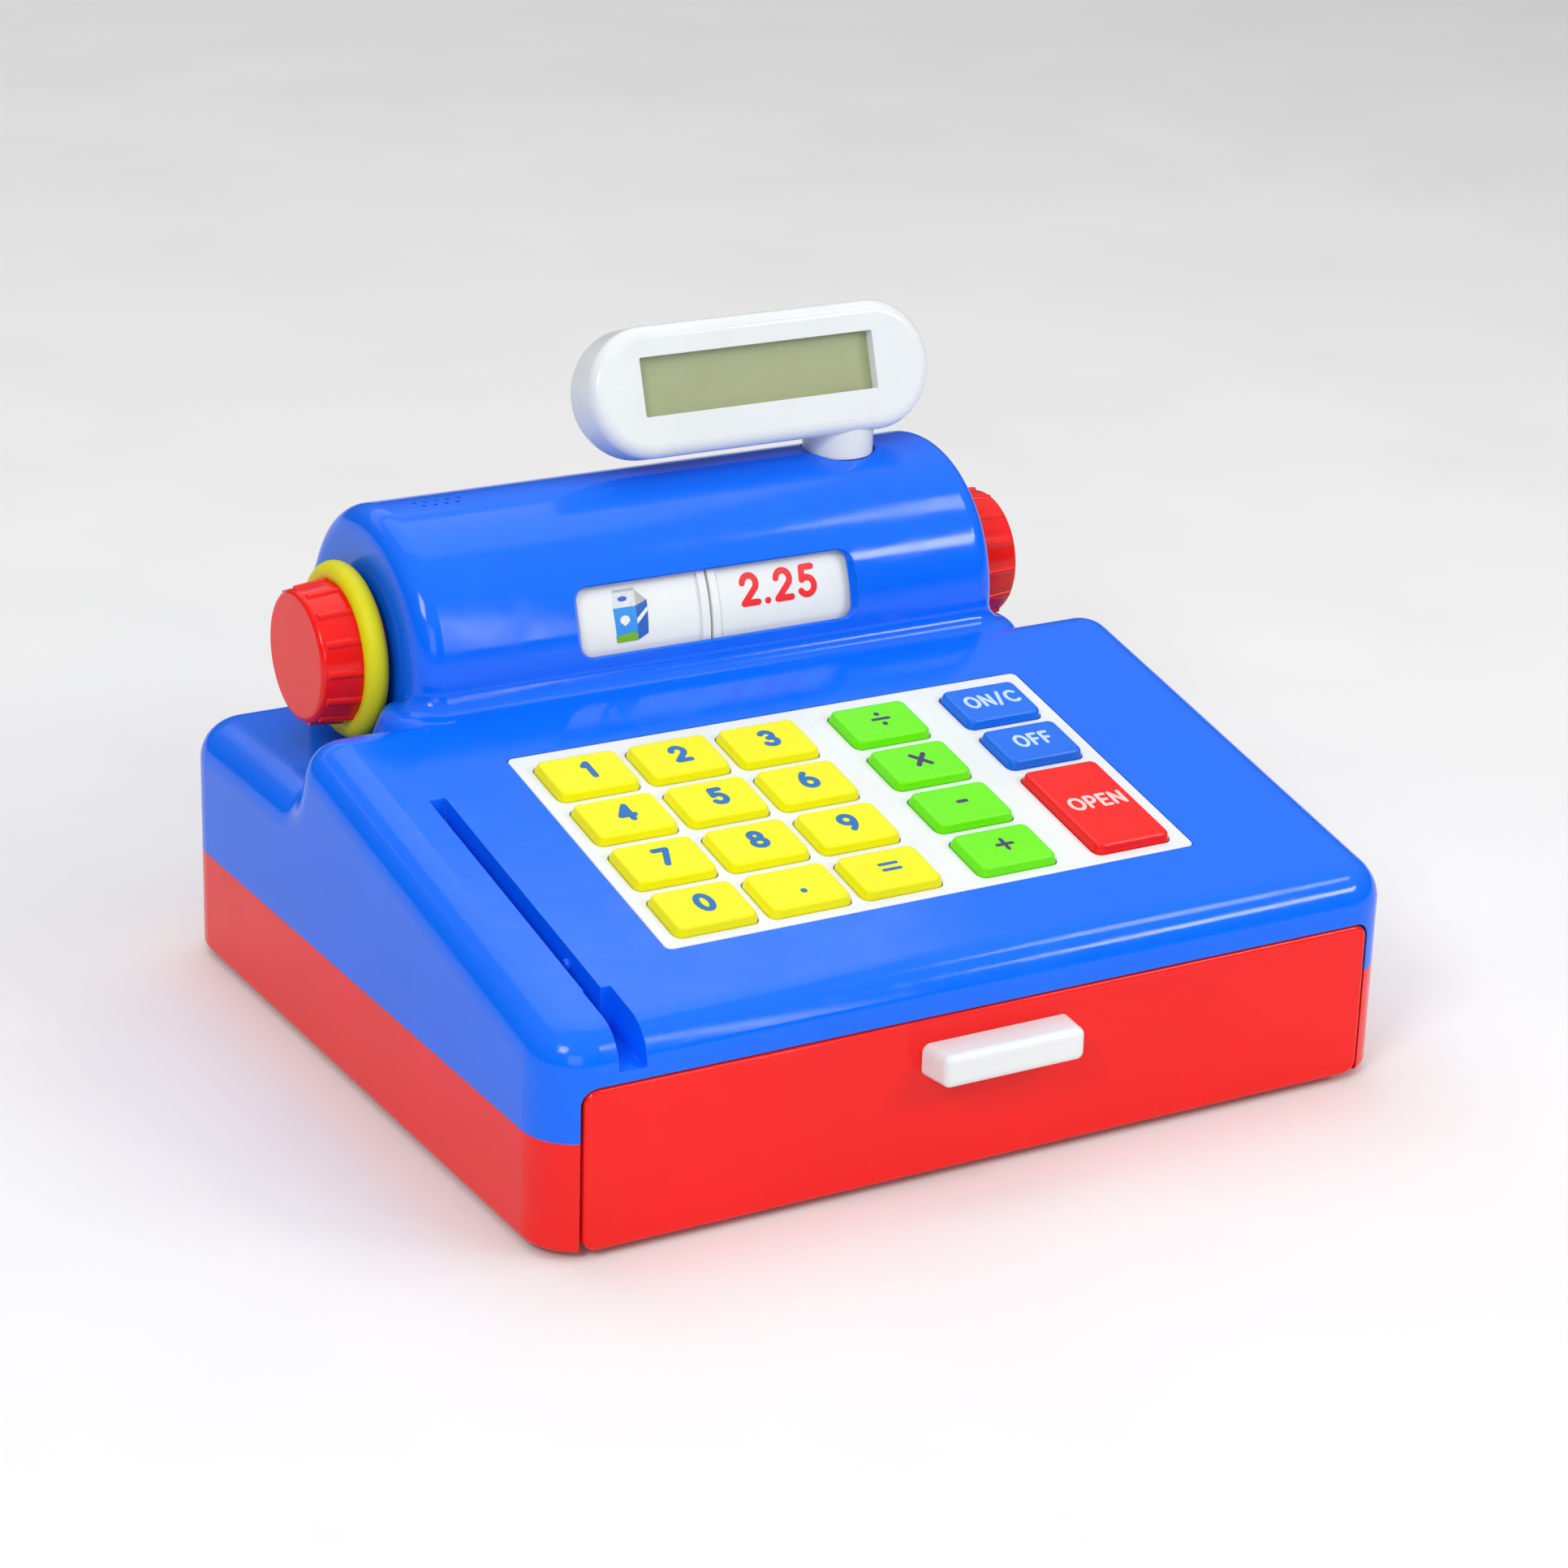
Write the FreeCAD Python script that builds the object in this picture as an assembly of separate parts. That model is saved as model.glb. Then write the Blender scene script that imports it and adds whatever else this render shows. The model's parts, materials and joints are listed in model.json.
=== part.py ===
"""Toy cash register: a calculator keypad over a sliding cash drawer.

Millimetres, +Z up, the front faces -Y, X to the right.  The origin is the centre of the
bounding box at the underside of the feet.  The register is a blue upper housing on a red
base pan.  The drawer slides out of the front, 19 keys press into the sloping deck, two
knobs turn the item and price drums behind the hood window, the display swivels on its
stem, and a small plunger in the card channel clicks when a card passes.
"""
import FreeCAD
import Part
import os
from math import cos, pi, radians, sin, sqrt, tan

V = FreeCAD.Vector

# ---- driving dimensions -------------------------------------------------------------
BODY_W = 300.0          # width over the housing
Y_FRONT = -128.0        # plane of the drawer front
Y_BACK = 140.0          # back wall
WALL = 2.5              # moulding wall
PAN_Z = 2.5             # underside of the base pan, on 2.5 mm feet
PART_Z = 37.5           # parting line between pan and housing
CORNER_R = 17.0         # plan corners
TOP_R = 13.0            # round-over of the housing's top edge
SLOPE = 12.1            # tilt of the key deck, degrees
SLOPE_Z0 = 69.1         # height of the deck plane over the front wall
SHOULDER_Y = 46.0       # where the deck ends beside the hood
REAR_Z = 82.0           # low deck behind the shoulders, under the knobs

HOOD_Y, HOOD_Z = 90.5, 114.0    # axis of the hood, the drums and the knobs
HOOD_R = 46.0
HOOD_HALF = 107.5
HOOD_END = 8.0          # round-over of the hood's ends
COVE_R = 7.0            # cove between deck and hood
SKIRT_R, SKIRT_SLOPE = 6.0, 70.0        # the cove running down the shoulder at the hood's corners
WINDOW_HALF, WINDOW_H, WINDOW_ANGLE = 50.5, 22.6, 16.3

PANEL_Y = -93.9         # front edge of the key panel
PANEL_HALF, PANEL_LEN, PANEL_T = 94.1, 109.25, 3.0
KEY_W, KEY_D, KEY_H = 28.4, 20.7, 3.0
KEY_R, KEY_EDGE = 2.6, 1.3              # plan corners and top edge of a key
KEY_DRAFT = 0.7
KEY_COLUMNS = (-88.9, -56.7, -24.4, 17.1, 59.5)
KEY_ROW0, KEY_PITCH = 81.05, 25.65
OPEN_D = KEY_D + KEY_PITCH      # the OPEN key covers two rows
KEY_GAP = 0.4
KEY_TRAVEL = 2.0
BOARD_TOP = -11.4       # keypad board below the deck
BOARD_T = 1.6
MAT_T = 1.5

DRAWER_HALF = 138.2     # drawer front
DRAWER_TRAVEL = 150.0
DRAWER_TOP = 54.1
FRONT_T = 8.2           # depth of the drawer front moulding
TRAY_HALF = 135.0
TRAY_BACK = 95.0
TRAY_Z0, TRAY_Z1 = 7.5, 48.0
TRAY_WALL = 2.2
DIVIDER_Y = -44.2       # between the coin row and the note row

SLOT_X0, SLOT_X1 = -127.3, -121.7       # card channel
SLOT_BACK = -1.0
NOTCH_X1, NOTCH_Y = -118.6, -104.6
CLICK_Y, CLICK_Z = -83.7, 73.0

STEM_X = 69.3
COLLAR_R = 12.1
FACE_X, FACE_Y, FACE_Z, FACE_TILT = 36.5, 83.0, 189.5, 18.0
FACE_W, FACE_H, CASE_T = 129.0, 43.7, 24.0
SPLIT = -11.0           # parting plane of the display case

DRUM_R, RIM_R = 41.8, 42.8
DRUM_END = 54.0
HUB_R, AXLE_R = 8.0, 2.5
RUN = 0.07              # radial running clearance
KNOB_X0, KNOB_X1, KNOB_R0, KNOB_R1 = 109.3, 131.0, 23.8, 21.6
RING_X, RING_R, RING_T = 114.0, 25.2, 3.9

LATCH_X, LATCH_Y, LATCH_Z = 73.75, -51.0, 60.0
SPEAKER_X = -81.0
COIL_SIDES = 8          # flats that stand for the round wire of a spring

PARTS = "parts"
SL = radians(SLOPE)


# ---- helpers ------------------------------------------------------------------------
def box(x0, y0, z0, x1, y1, z1):
    return Part.makeBox(x1 - x0, y1 - y0, z1 - z0, V(x0, y0, z0))


def cyl(r, p, axis, length):
    return Part.makeCylinder(r, length, V(*p), V(*axis))


def tube(r_out, r_in, p, axis, length):
    return cyl(r_out, p, axis, length).cut(cyl(r_in, p, axis, length))


def fuse(shapes):
    shapes = list(shapes)
    return shapes[0].multiFuse(shapes[1:]).removeSplitter() if len(shapes) > 1 else shapes[0]


def solid(shape):
    """The single solid of a boolean result."""
    return shape.Solids[0] if len(shape.Solids) == 1 else shape


def group(shapes):
    return Part.makeCompound(list(shapes))


def rounded(x0, y0, x1, y1, r, z):
    """Closed rounded-rectangle wire in the plane at height z."""
    k = r * (1 - sqrt(0.5))
    arcs = [((x1 - r, y0), (x1 - k, y0 + k), (x1, y0 + r)),
            ((x1, y1 - r), (x1 - k, y1 - k), (x1 - r, y1)),
            ((x0 + r, y1), (x0 + k, y1 - k), (x0, y1 - r)),
            ((x0, y0 + r), (x0 + k, y0 + k), (x0 + r, y0))]
    edges, last = [], arcs[-1][2]
    for a, m, b in arcs:
        if V(*last, z).distanceToPoint(V(*a, z)) > 1e-6:
            edges.append(Part.makeLine(V(*last, z), V(*a, z)))
        edges.append(Part.Arc(V(*a, z), V(*m, z), V(*b, z)).toShape())
        last = b
    return Part.Wire(edges)


def slab(x0, y0, x1, y1, r, z0, z1):
    """Prism of a rounded rectangle."""
    return Part.Face(rounded(x0, y0, x1, y1, r, z0)).extrude(V(0, 0, z1 - z0))


def fillet_where(shape, r, test):
    """Fillet the edges whose middle point passes the test."""
    picked = [e for e in shape.Edges if test(e.valueAt((e.FirstParameter + e.LastParameter) / 2), e)]
    return shape.makeFillet(r, picked)


def extrude_yz(points, x0, x1):
    """Prism along X of a polygon given as (y, z)."""
    wire = Part.makePolygon([V(x0, y, z) for y, z in points + points[:1]])
    return Part.Face(wire).extrude(V(x1 - x0, 0, 0))


def deck_z(y):
    return SLOPE_Z0 + (y - Y_FRONT) * tan(SL)


def on_deck(shape):
    """Deck frame: x across, y up the slope from the panel's front edge, z out of the deck."""
    shape = shape.copy()
    shape.Placement = FreeCAD.Placement(V(0, PANEL_Y, deck_z(PANEL_Y)), FreeCAD.Rotation(V(1, 0, 0), SLOPE))
    return shape


def on_face(shape):
    """Display frame: x across, y up the face, z out of the face."""
    shape = shape.copy()
    turn = FreeCAD.Rotation(V(1, 0, 0), 90 - FACE_TILT)
    shape.Placement = FreeCAD.Placement(V(FACE_X, FACE_Y, FACE_Z), turn)
    return shape


def coil(radius, wire_r, length, turns, p, axis):
    """Helical spring that starts at p and runs along axis, its round wire drawn with COIL_SIDES flats."""
    helix = Part.makeHelix(length / turns, length, radius)
    angles = [2 * pi * (i + 0.5) / COIL_SIDES for i in range(COIL_SIDES)]
    corners = [V(radius + wire_r * cos(a), 0, wire_r * sin(a)) for a in angles]
    start = Part.makePolygon(corners + corners[:1])
    spring = helix.makePipeShell([start], True, True)
    spring.Placement = FreeCAD.Placement(V(*p), FreeCAD.Rotation(V(0, 0, 1), V(*axis)))
    return spring


def screw(p, axis, length, r=1.45, head_r=2.8, head_h=2.0):
    """Pan-head screw: p is under the head, axis points along the shank."""
    a = V(*axis)
    head = Part.makeCylinder(head_r, head_h, V(*p) - a * head_h, a)
    head = head.makeFillet(0.5, [e for e in head.Edges if e.Curve.TypeId == "Part::GeomCircle"
                                 and (e.CenterOfMass - (V(*p) - a * head_h)).Length < 0.1])
    drive = [Part.makeBox(head_r * 1.3, 0.6, 1.0, V(-head_r * 0.65, -0.3, 0)),
             Part.makeBox(0.6, head_r * 1.3, 1.0, V(-0.3, -head_r * 0.65, 0))]
    for slot in drive:
        slot.Placement = FreeCAD.Placement(V(*p) - a * head_h, FreeCAD.Rotation(V(0, 0, 1), a))
        head = head.cut(slot)
    return head.fuse(Part.makeCylinder(r, length, V(*p), a)).removeSplitter()


# ---- upper housing ------------------------------------------------------------------
def plan(inset, z0, z1):
    half = BODY_W / 2 - inset
    return slab(-half, Y_FRONT + inset, half, Y_BACK - inset, CORNER_R - inset, z0, z1)


def on_plan_edge(p, inset):
    """True where a point lies on the wall of the plan outline."""
    half, r = BODY_W / 2 - inset, CORNER_R - inset
    mid, dy = (Y_FRONT + Y_BACK) / 2, (Y_BACK - Y_FRONT) / 2 - inset
    ax, ay = abs(p.x), abs(p.y - mid)
    if ax > half - r and ay > dy - r:
        return abs(sqrt((ax - half + r) ** 2 + (ay - dy + r) ** 2) - r) < 0.02
    return abs(ax - half) < 0.02 or abs(ay - dy) < 0.02


def wedge(inset, z0):
    """The housing without its hood: sloping deck, shoulder and low rear deck."""
    drop = inset / cos(SL)
    shoulder = SHOULDER_Y - inset
    rear = REAR_Z - inset
    foot = SHOULDER_Y + 9 - inset * 0.7
    prism = extrude_yz([(Y_FRONT - 20, z0), (Y_FRONT - 20, deck_z(Y_FRONT - 20) - drop),
                        (shoulder, deck_z(shoulder) - drop), (foot, rear),
                        (Y_BACK + 20, rear), (Y_BACK + 20, z0)], -200, 200)
    prism = fillet_where(prism, 14 - inset, lambda p, e: abs(p.x) < 1 and abs(p.y - shoulder) < 0.1
                         and p.z > rear + 5)
    prism = fillet_where(prism, 8 + inset, lambda p, e: abs(p.x) < 1 and abs(p.y - foot) < 0.1)
    body = prism.common(plan(inset, z0, 200))
    return fillet_where(body, TOP_R - inset, lambda p, e: p.z > z0 + 5 and on_plan_edge(p, inset)
                        and abs(e.tangentAt(e.FirstParameter).z) < 0.99)


def hood(inset, z0):
    """Round hood across the back: upright front, round top, back sloping to the rear wall."""
    r, half, back = HOOD_R - inset, HOOD_HALF - inset, Y_BACK - inset
    a = radians(30)
    top_end = (HOOD_Y + r * cos(a), HOOD_Z + r * sin(a))
    bend = (back, top_end[1] - (back - top_end[0]) / tan(a))

    def pt(y, z):
        return V(-half, y, z)
    mid = radians(105)
    edges = [Part.makeLine(pt(HOOD_Y - r, z0), pt(HOOD_Y - r, HOOD_Z)),
             Part.Arc(pt(HOOD_Y - r, HOOD_Z), pt(HOOD_Y + r * cos(mid), HOOD_Z + r * sin(mid)),
                      pt(*top_end)).toShape(),
             Part.makeLine(pt(*top_end), pt(*bend)), Part.makeLine(pt(*bend), pt(back, z0)),
             Part.makeLine(pt(back, z0), pt(HOOD_Y - r, z0))]
    body = Part.Face(Part.Wire(edges)).extrude(V(2 * half, 0, 0))
    body = fillet_where(body, 14, lambda p, e: abs(p.x) < 1 and abs(p.y - back) < 0.1 and p.z > z0 + 5)
    return fillet_where(body, HOOD_END - inset, lambda p, e: abs(abs(p.x) - half) < 0.01 and p.z > z0 + 1)


def apron(inset):
    """Deck carried straight on to the hood's front between the shoulders."""
    half, drop = HOOD_HALF - HOOD_END, inset / cos(SL)
    y0, y1 = SHOULDER_Y - 26, HOOD_Y - HOOD_R + inset + 4
    return extrude_yz([(y0, deck_z(y0) - drop - 6), (y0, deck_z(y0) - drop),
                       (y1, deck_z(y1) - drop), (y1, deck_z(y0) - drop - 6)], -half, half)


def channel(grow):
    """Card channel: narrow slot that widens at the front and leaves through the front wall."""
    ramp_y, ramp_z = SLOT_BACK - 30, 66.0 - grow
    rise = deck_z(SLOT_BACK) + 2 - ramp_z
    floor = [(Y_FRONT - 5, 58.0 - grow), (ramp_y, ramp_z)]
    for i in range(1, 7):
        turn = radians(15 * i)
        floor.append((ramp_y + (30 + grow) * sin(turn), ramp_z + rise * (1 - cos(turn))))
    floor += [(floor[-1][0], 130), (Y_FRONT - 5, 130)]
    slot = extrude_yz(floor, SLOT_X0 - grow, SLOT_X1 + grow)
    notch = extrude_yz([(Y_FRONT - 5, 57.5 - grow), (NOTCH_Y + grow, 60.0 - grow),
                        (NOTCH_Y + grow, 130), (Y_FRONT - 5, 130)],
                       SLOT_X0 - 0.4 - grow, NOTCH_X1 + grow)
    return slot.fuse(notch)


def window_cutter():
    """Window through the hood wall with a bevelled rim."""
    def rim(grow, dist):
        return rounded(-WINDOW_HALF - grow, -WINDOW_H / 2 - grow, WINDOW_HALF + grow,
                       WINDOW_H / 2 + grow, 4 + grow, dist)
    bevel = Part.makeLoft([rim(0, HOOD_R - 2.2), rim(3.0, HOOD_R + 1.0)], True)
    hole = Part.Face(rim(0, HOOD_R - 6)).extrude(V(0, 0, 6))
    cutter = bevel.fuse(hole)
    cutter.Placement = FreeCAD.Placement(V(0, HOOD_Y, HOOD_Z),
                                         FreeCAD.Rotation(V(1, 0, 0), 90 - WINDOW_ANGLE))
    return cutter


def cove_profile(inset, skirt):
    """Section of the flare at the hood's foot as (y, z) edges; a skirt runs on down the shoulder."""
    r, y0 = COVE_R + inset, HOOD_Y - HOOD_R + inset
    zc = deck_z(y0 - r) + COVE_R / cos(SL)

    def pt(y, z):
        return V(0, y, z)

    def around(centre, radius, angle):
        return pt(centre[0] + radius * sin(angle), centre[1] - radius * cos(angle))
    centre = (y0 - r, zc)
    foot = around(centre, r, SL)
    edges = [Part.Arc(pt(y0, zc), around(centre, r, (SL + pi / 2) / 2), foot).toShape()]
    if skirt:
        bend, steep = SKIRT_R - inset, radians(SKIRT_SLOPE)
        low = (centre[0] + (r + bend) * sin(SL), zc - (r + bend) * cos(SL))
        turned = [around(low, -bend, a) for a in ((SL + steep) / 2, steep)]
        fall = turned[1].z - REAR_Z + 2
        last = pt(turned[1].y - fall / tan(steep), REAR_Z - 2)
        edges += [Part.Arc(foot, *turned).toShape(), Part.makeLine(turned[1], last)]
    else:
        last = foot
    corners = [last, pt(last.y, last.z - 3), pt(y0 + 1, last.z - 3), pt(y0 + 1, zc), pt(y0, zc)]
    edges += [Part.makeLine(p, q) for p, q in zip(corners, corners[1:])]
    return Part.Face(Part.Wire(edges))


def cove():
    """Concave flare along the hood's front between its round corners."""
    face = cove_profile(0, False)
    face.translate(V(HOOD_END - HOOD_HALF, 0, 0))
    return face.extrude(V(2 * (HOOD_HALF - HOOD_END), 0, 0))


def skirts(inset):
    """The flare carried round the hood's front corners and down the shoulders, clear of the knobs."""
    pieces = []
    for s in (-1, 1):
        x = s * (HOOD_HALF - HOOD_END)
        face = cove_profile(inset, True)
        face.translate(V(x, 0, 0))
        flare = face.revolve(V(x, HOOD_Y - HOOD_R + HOOD_END, 0), V(0, 0, 1), 360)
        room = cyl(RING_R + RING_T + 1 + inset, (s * (HOOD_HALF - inset), HOOD_Y, HOOD_Z), (s, 0, 0), 40)
        pieces.append(flare.cut(room))
    return pieces


def panel_seat():
    """Frame under the deck that the key panel drops into, and the pocket cut for it."""
    e = 0.3
    outer = slab(-PANEL_HALF - 2, -2, PANEL_HALF + 2, PANEL_LEN + 2, 3, -5, -1)
    inner = slab(-PANEL_HALF + 1.5, 1.5, PANEL_HALF - 1.5, PANEL_LEN - 1.5, 2, -6, 5)
    pocket = slab(-PANEL_HALF - e, -e, PANEL_HALF + e, PANEL_LEN + e, 2.5, -PANEL_T, 8)
    return on_deck(outer), on_deck(inner.fuse(pocket))


def housing_bosses():
    """Screw pillars over the pan's, speaker ring, stem boss, hub bushes, leaf-spring posts."""
    bosses = [cyl(4, (s * 125, 126, PART_Z), (0, 0, 1), REAR_Z - PART_Z - 1) for s in (-1, 1)]
    for s in (-1, 1):
        for y in (-112, 20):
            x0, x1 = sorted((s * 141.4, s * 147.8))
            bosses.append(box(x0, y - 4, PART_Z, x1, y + 4, 66))
    bosses.append(cyl(15.2, (SPEAKER_X, HOOD_Y, 148), (0, 0, 1), 9))
    bosses.append(cyl(13, (STEM_X, HOOD_Y, 152.1), (0, 0, 1), 5))
    for s in (-1, 1):
        bosses.append(cyl(11.5, (s * 101, HOOD_Y, HOOD_Z), (s, 0, 0), 5))
        x0, x1 = sorted((s * 58, s * 66))
        bosses.append(box(x0, 126, 92, x1, Y_BACK - 1, 99.5))
    for dx in (-8, 6):
        bosses.append(box(LATCH_X + dx, Y_FRONT + 1, 56.0, LATCH_X + dx + 2, LATCH_Y + 5, 63.0))
    bosses.append(cyl(4.6, (SLOT_X1 + 1, CLICK_Y, CLICK_Z), (1, 0, 0), 13))
    return bosses


def housing_holes():
    """Holes for screws, hubs, stem, speaker, latch pin and card clicker."""
    holes = [cyl(1.45, (s * 125, 126, PART_Z - 1), (0, 0, 1), 25) for s in (-1, 1)]
    holes += [cyl(1.45, (s * 144.4, y, PART_Z - 1), (0, 0, 1), 25) for s in (-1, 1) for y in (-112, 20)]
    holes.append(cyl(13.7, (SPEAKER_X, HOOD_Y, 147), (0, 0, 1), 6.7))
    pitch = 4.0
    for row, count in ((-1, 4), (0, 5), (1, 4)):
        for i in range(count):
            holes.append(cyl(0.75, (SPEAKER_X + (i - (count - 1) / 2) * pitch,
                                    HOOD_Y + row * pitch * 0.87, 150), (0, 0, 1), 15))
    holes.append(cyl(HUB_R + 1 + RUN, (STEM_X, HOOD_Y, 150), (0, 0, 1), 20))
    holes.append(cyl(COLLAR_R + 0.7, (STEM_X, HOOD_Y, 158.2), (0, 0, 1), 10))
    for s in (-1, 1):
        holes.append(cyl(HUB_R + RUN, (s * 95, HOOD_Y, HOOD_Z), (s, 0, 0), 20))
        holes.append(cyl(1.0, (s * 62, 132, 93), (0, 0, 1), 8))
    holes.append(cyl(1.5, (LATCH_X - 9, LATCH_Y, LATCH_Z), (1, 0, 0), 18))
    holes.append(cyl(2 + RUN, (SLOT_X1 - 3, CLICK_Y, CLICK_Z), (1, 0, 0), 10))
    holes.append(cyl(3.4, (SLOT_X1 + 2.5, CLICK_Y, CLICK_Z), (1, 0, 0), 20))
    return holes


def upper_housing():
    outer = fuse([wedge(0, PART_Z), hood(0, 60), apron(0), cove()] + skirts(0))
    cavity = fuse([wedge(WALL, PART_Z - 1), hood(WALL, PART_Z - 1), apron(WALL)] + skirts(WALL))
    seat, pocket = panel_seat()
    trough = channel(2.0).common(wedge(0.4, PART_Z))
    extras = fuse([seat, trough] + housing_bosses()).common(outer)
    shell = outer.cut(cavity).fuse(extras)
    mouth = slab(-DRAWER_HALF - 1, PART_Z - 20, DRAWER_HALF + 1, DRAWER_TOP + 0.5, 5.4, 0, 12)
    mouth.Placement = FreeCAD.Placement(V(0, Y_FRONT + 11, 0), FreeCAD.Rotation(V(1, 0, 0), 90))
    for cutter in [pocket, channel(0), window_cutter(), mouth] + housing_holes():
        shell = shell.cut(cutter)
    return solid(shell)


# ---- base pan -----------------------------------------------------------------------
BOX_Y0, BOX_Y1 = 101.0, 135.0       # battery bay
CELL_R, CELL_LEN, CELL_PITCH = 7.1, 50.0, 15.6
CELL_Z = PAN_Z + WALL + 0.6 + CELL_R
FEET = [(s * 125, y) for s in (-1, 1) for y in (-95, 112)]
PILLARS = [(s * 144.4, y) for s in (-1, 1) for y in (-112, 20)]
REAR_BOSSES = [(s * 125, 126) for s in (-1, 1)]
SPRING_X = 80.0


def pan_shell():
    outer = plan(0, PAN_Z, PART_Z)
    outer = fillet_where(outer, 2.0, lambda p, e: p.z < PAN_Z + 0.01)
    shell = outer.cut(plan(WALL, PAN_Z + WALL, PART_Z + 1))
    lip = plan(WALL + 0.15, PART_Z - 2, PART_Z + 2.5).cut(plan(WALL + 1.5, PART_Z - 3, PART_Z + 3))
    ring = plan(WALL - 0.1, PART_Z - 3, PART_Z - 1).cut(plan(WALL + 1.5, PART_Z - 4, PART_Z))
    return shell.fuse(lip).fuse(ring)


def pan_guides():
    """Side guide walls with the rails that the drawer hangs on, floor runners and the stop rib."""
    adds = []
    for s in (-1, 1):
        for x0, x1, z0, z1, y0 in ((139.2, 141.4, PAN_Z + 1, 40, Y_FRONT + 4),
                                   (135.6, 139.6, 24.4, 27.6, Y_FRONT + 10)):
            a, b = sorted((s * x0, s * x1))
            adds.append(box(a, y0, z0, b, TRAY_BACK, z1))
        adds.append(box(s * 60 - 3, Y_FRONT + 12, PAN_Z + 1, s * 60 + 3, 90, TRAY_Z0 - 0.4))
    stop = TRAY_BACK - 3 - DRAWER_TRAVEL - 0.4
    adds.append(box(-40, stop - 3, PAN_Z + 1, 40, stop, TRAY_Z0 - 0.4))
    return adds


def pan_bosses():
    adds = [cyl(4.4, (x, y, PAN_Z + 1), (0, 0, 1), PART_Z - PAN_Z - 1) for x, y in REAR_BOSSES]
    for x, y in PILLARS:
        adds.append(box(x - 3.1, y - 4, PAN_Z + 1, x + 3.1, y + 4, PART_Z))
    bay = box(-34.8, BOX_Y0 - 1.6, PAN_Z + 1, 34.8, BOX_Y1 + 1.6, 22)
    adds.append(bay.cut(box(-33.2, BOX_Y0, PAN_Z, 33.2, BOX_Y1, 20.4)))
    adds.append(cyl(3.6, (38.5, 118, PAN_Z + 2), (0, 0, 1), 12))
    for s in (-1, 1):
        adds.append(box(s * SPRING_X - 8, Y_BACK - 5, PAN_Z + 1, s * SPRING_X + 8, Y_BACK - 1, 34))
        adds.append(cyl(3.2, (s * SPRING_X, Y_BACK - 4, 24), (0, -1, 0), 12))
    return adds


def pan_cuts():
    cuts = [box(-DRAWER_HALF - 1, Y_FRONT - 1, 0, DRAWER_HALF + 1, Y_FRONT + FRONT_T + 0.4, 60)]
    for x, y in REAR_BOSSES + PILLARS:
        cuts.append(cyl(1.65, (x, y, 0), (0, 0, 1), 50))
        cuts.append(cyl(3.0, (x, y, 0), (0, 0, 1), 25))
    for x, y in FEET:
        cuts.append(cyl(3.0, (x, y, 0), (0, 0, 1), 10))
    for x, y in PILLARS:
        cuts.append(box(x - 3, y - 4.3, PART_Z, x + 3.2, y + 4.3, 45))
    cuts.append(slab(-31, BOX_Y0 + 1, 31, BOX_Y1 - 1, 1.5, 0, 6))
    cuts.append(cover_outline(0.2, 0, PAN_Z + 1.6))
    cuts.append(cyl(1.25, (38.5, 118, 0), (0, 0, 1), 14))
    return cuts


def base_pan():
    body = fuse([pan_shell()] + pan_guides() + pan_bosses())
    for cutter in pan_cuts():
        body = body.cut(cutter)
    return solid(body)


def cover_outline(gap, z0, z1):
    door = slab(-33 - gap, BOX_Y0 - 1 - gap, 33 + gap, BOX_Y1 + 1 + gap, 2, z0, z1)
    return door.fuse(slab(20, 112 - gap, 43 + gap, 124 + gap, 4, z0, z1)).removeSplitter()


def battery_cover():
    cover = cover_outline(0, PAN_Z, PAN_Z + 1.5)
    cover = cover.cut(cyl(1.7, (38.5, 118, 0), (0, 0, 1), 10)).cut(cyl(3.0, (38.5, 118, 0), (0, 0, 1), 3.1))
    for i in range(5):
        cover = cover.cut(box(-28, 108 + i * 5, PAN_Z - 1, -16, 109.2 + i * 5, PAN_Z + 0.5))
    return solid(cover)


def batteries():
    cells = []
    for i, s in ((0, 1), (1, -1)):
        y = (BOX_Y0 + BOX_Y1) / 2 + (i - 0.5) * CELL_PITCH
        cell = cyl(CELL_R, (-s * (CELL_LEN / 2), y, CELL_Z), (s, 0, 0), CELL_LEN - 1.5)
        cells.append(cell.fuse(cyl(2.6, (s * (CELL_LEN / 2 - 1.6), y, CELL_Z), (s, 0, 0), 1.6)))
    return group(cells)


def battery_contacts():
    """Two contact plates and a bridge, each cell's minus end on a coil."""
    y_mid, z = (BOX_Y0 + BOX_Y1) / 2, CELL_Z
    plates = [box(-33.1, y_mid - 14, z - 6, -32.7, y_mid + 14, z + 6)]
    plates += [box(32.7, y_mid + s * 8 - 6, z - 6, 33.1, y_mid + s * 8 + 6, z + 6) for s in (-1, 1)]
    for s in (-1, 1):
        y = y_mid + s * CELL_PITCH / 2
        x = s * 32.5
        plates.append(coil(3.2, 0.35, 6.4, 4, (x, y, z), (-s, 0, 0)))
    return group(plates)


def feet():
    pads = []
    for x, y in FEET:
        pad = cyl(9, (x, y, 0), (0, 0, 1), PAN_Z)
        pad = fillet_where(pad, 0.7, lambda p, e: p.z < 0.01)
        pads.append(pad.fuse(cyl(2.95, (x, y, PAN_Z - 0.5), (0, 0, 1), WALL + 2)).removeSplitter())
    return group(pads)


def case_screws():
    places = REAR_BOSSES + PILLARS
    return group([screw((x, y, 25), (0, 0, 1), 30 if abs(x) < 130 else 24) for x, y in places])


def battery_screw():
    return screw((38.5, 118, PAN_Z + 0.6), (0, 0, 1), 9, 1.25, 2.6, 0.6)


# ---- drawer -------------------------------------------------------------------------
HANDLE_HALF, HANDLE_Z, HANDLE_H, HANDLE_OUT = 26.0, 40.8, 10.6, 12.0
DRAWER_SCREWS = [(x, 30) for x in (-100, -33, 33, 100)]
HANDLE_SCREWS = [(x, HANDLE_Z) for x in (-16, 16)]


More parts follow.
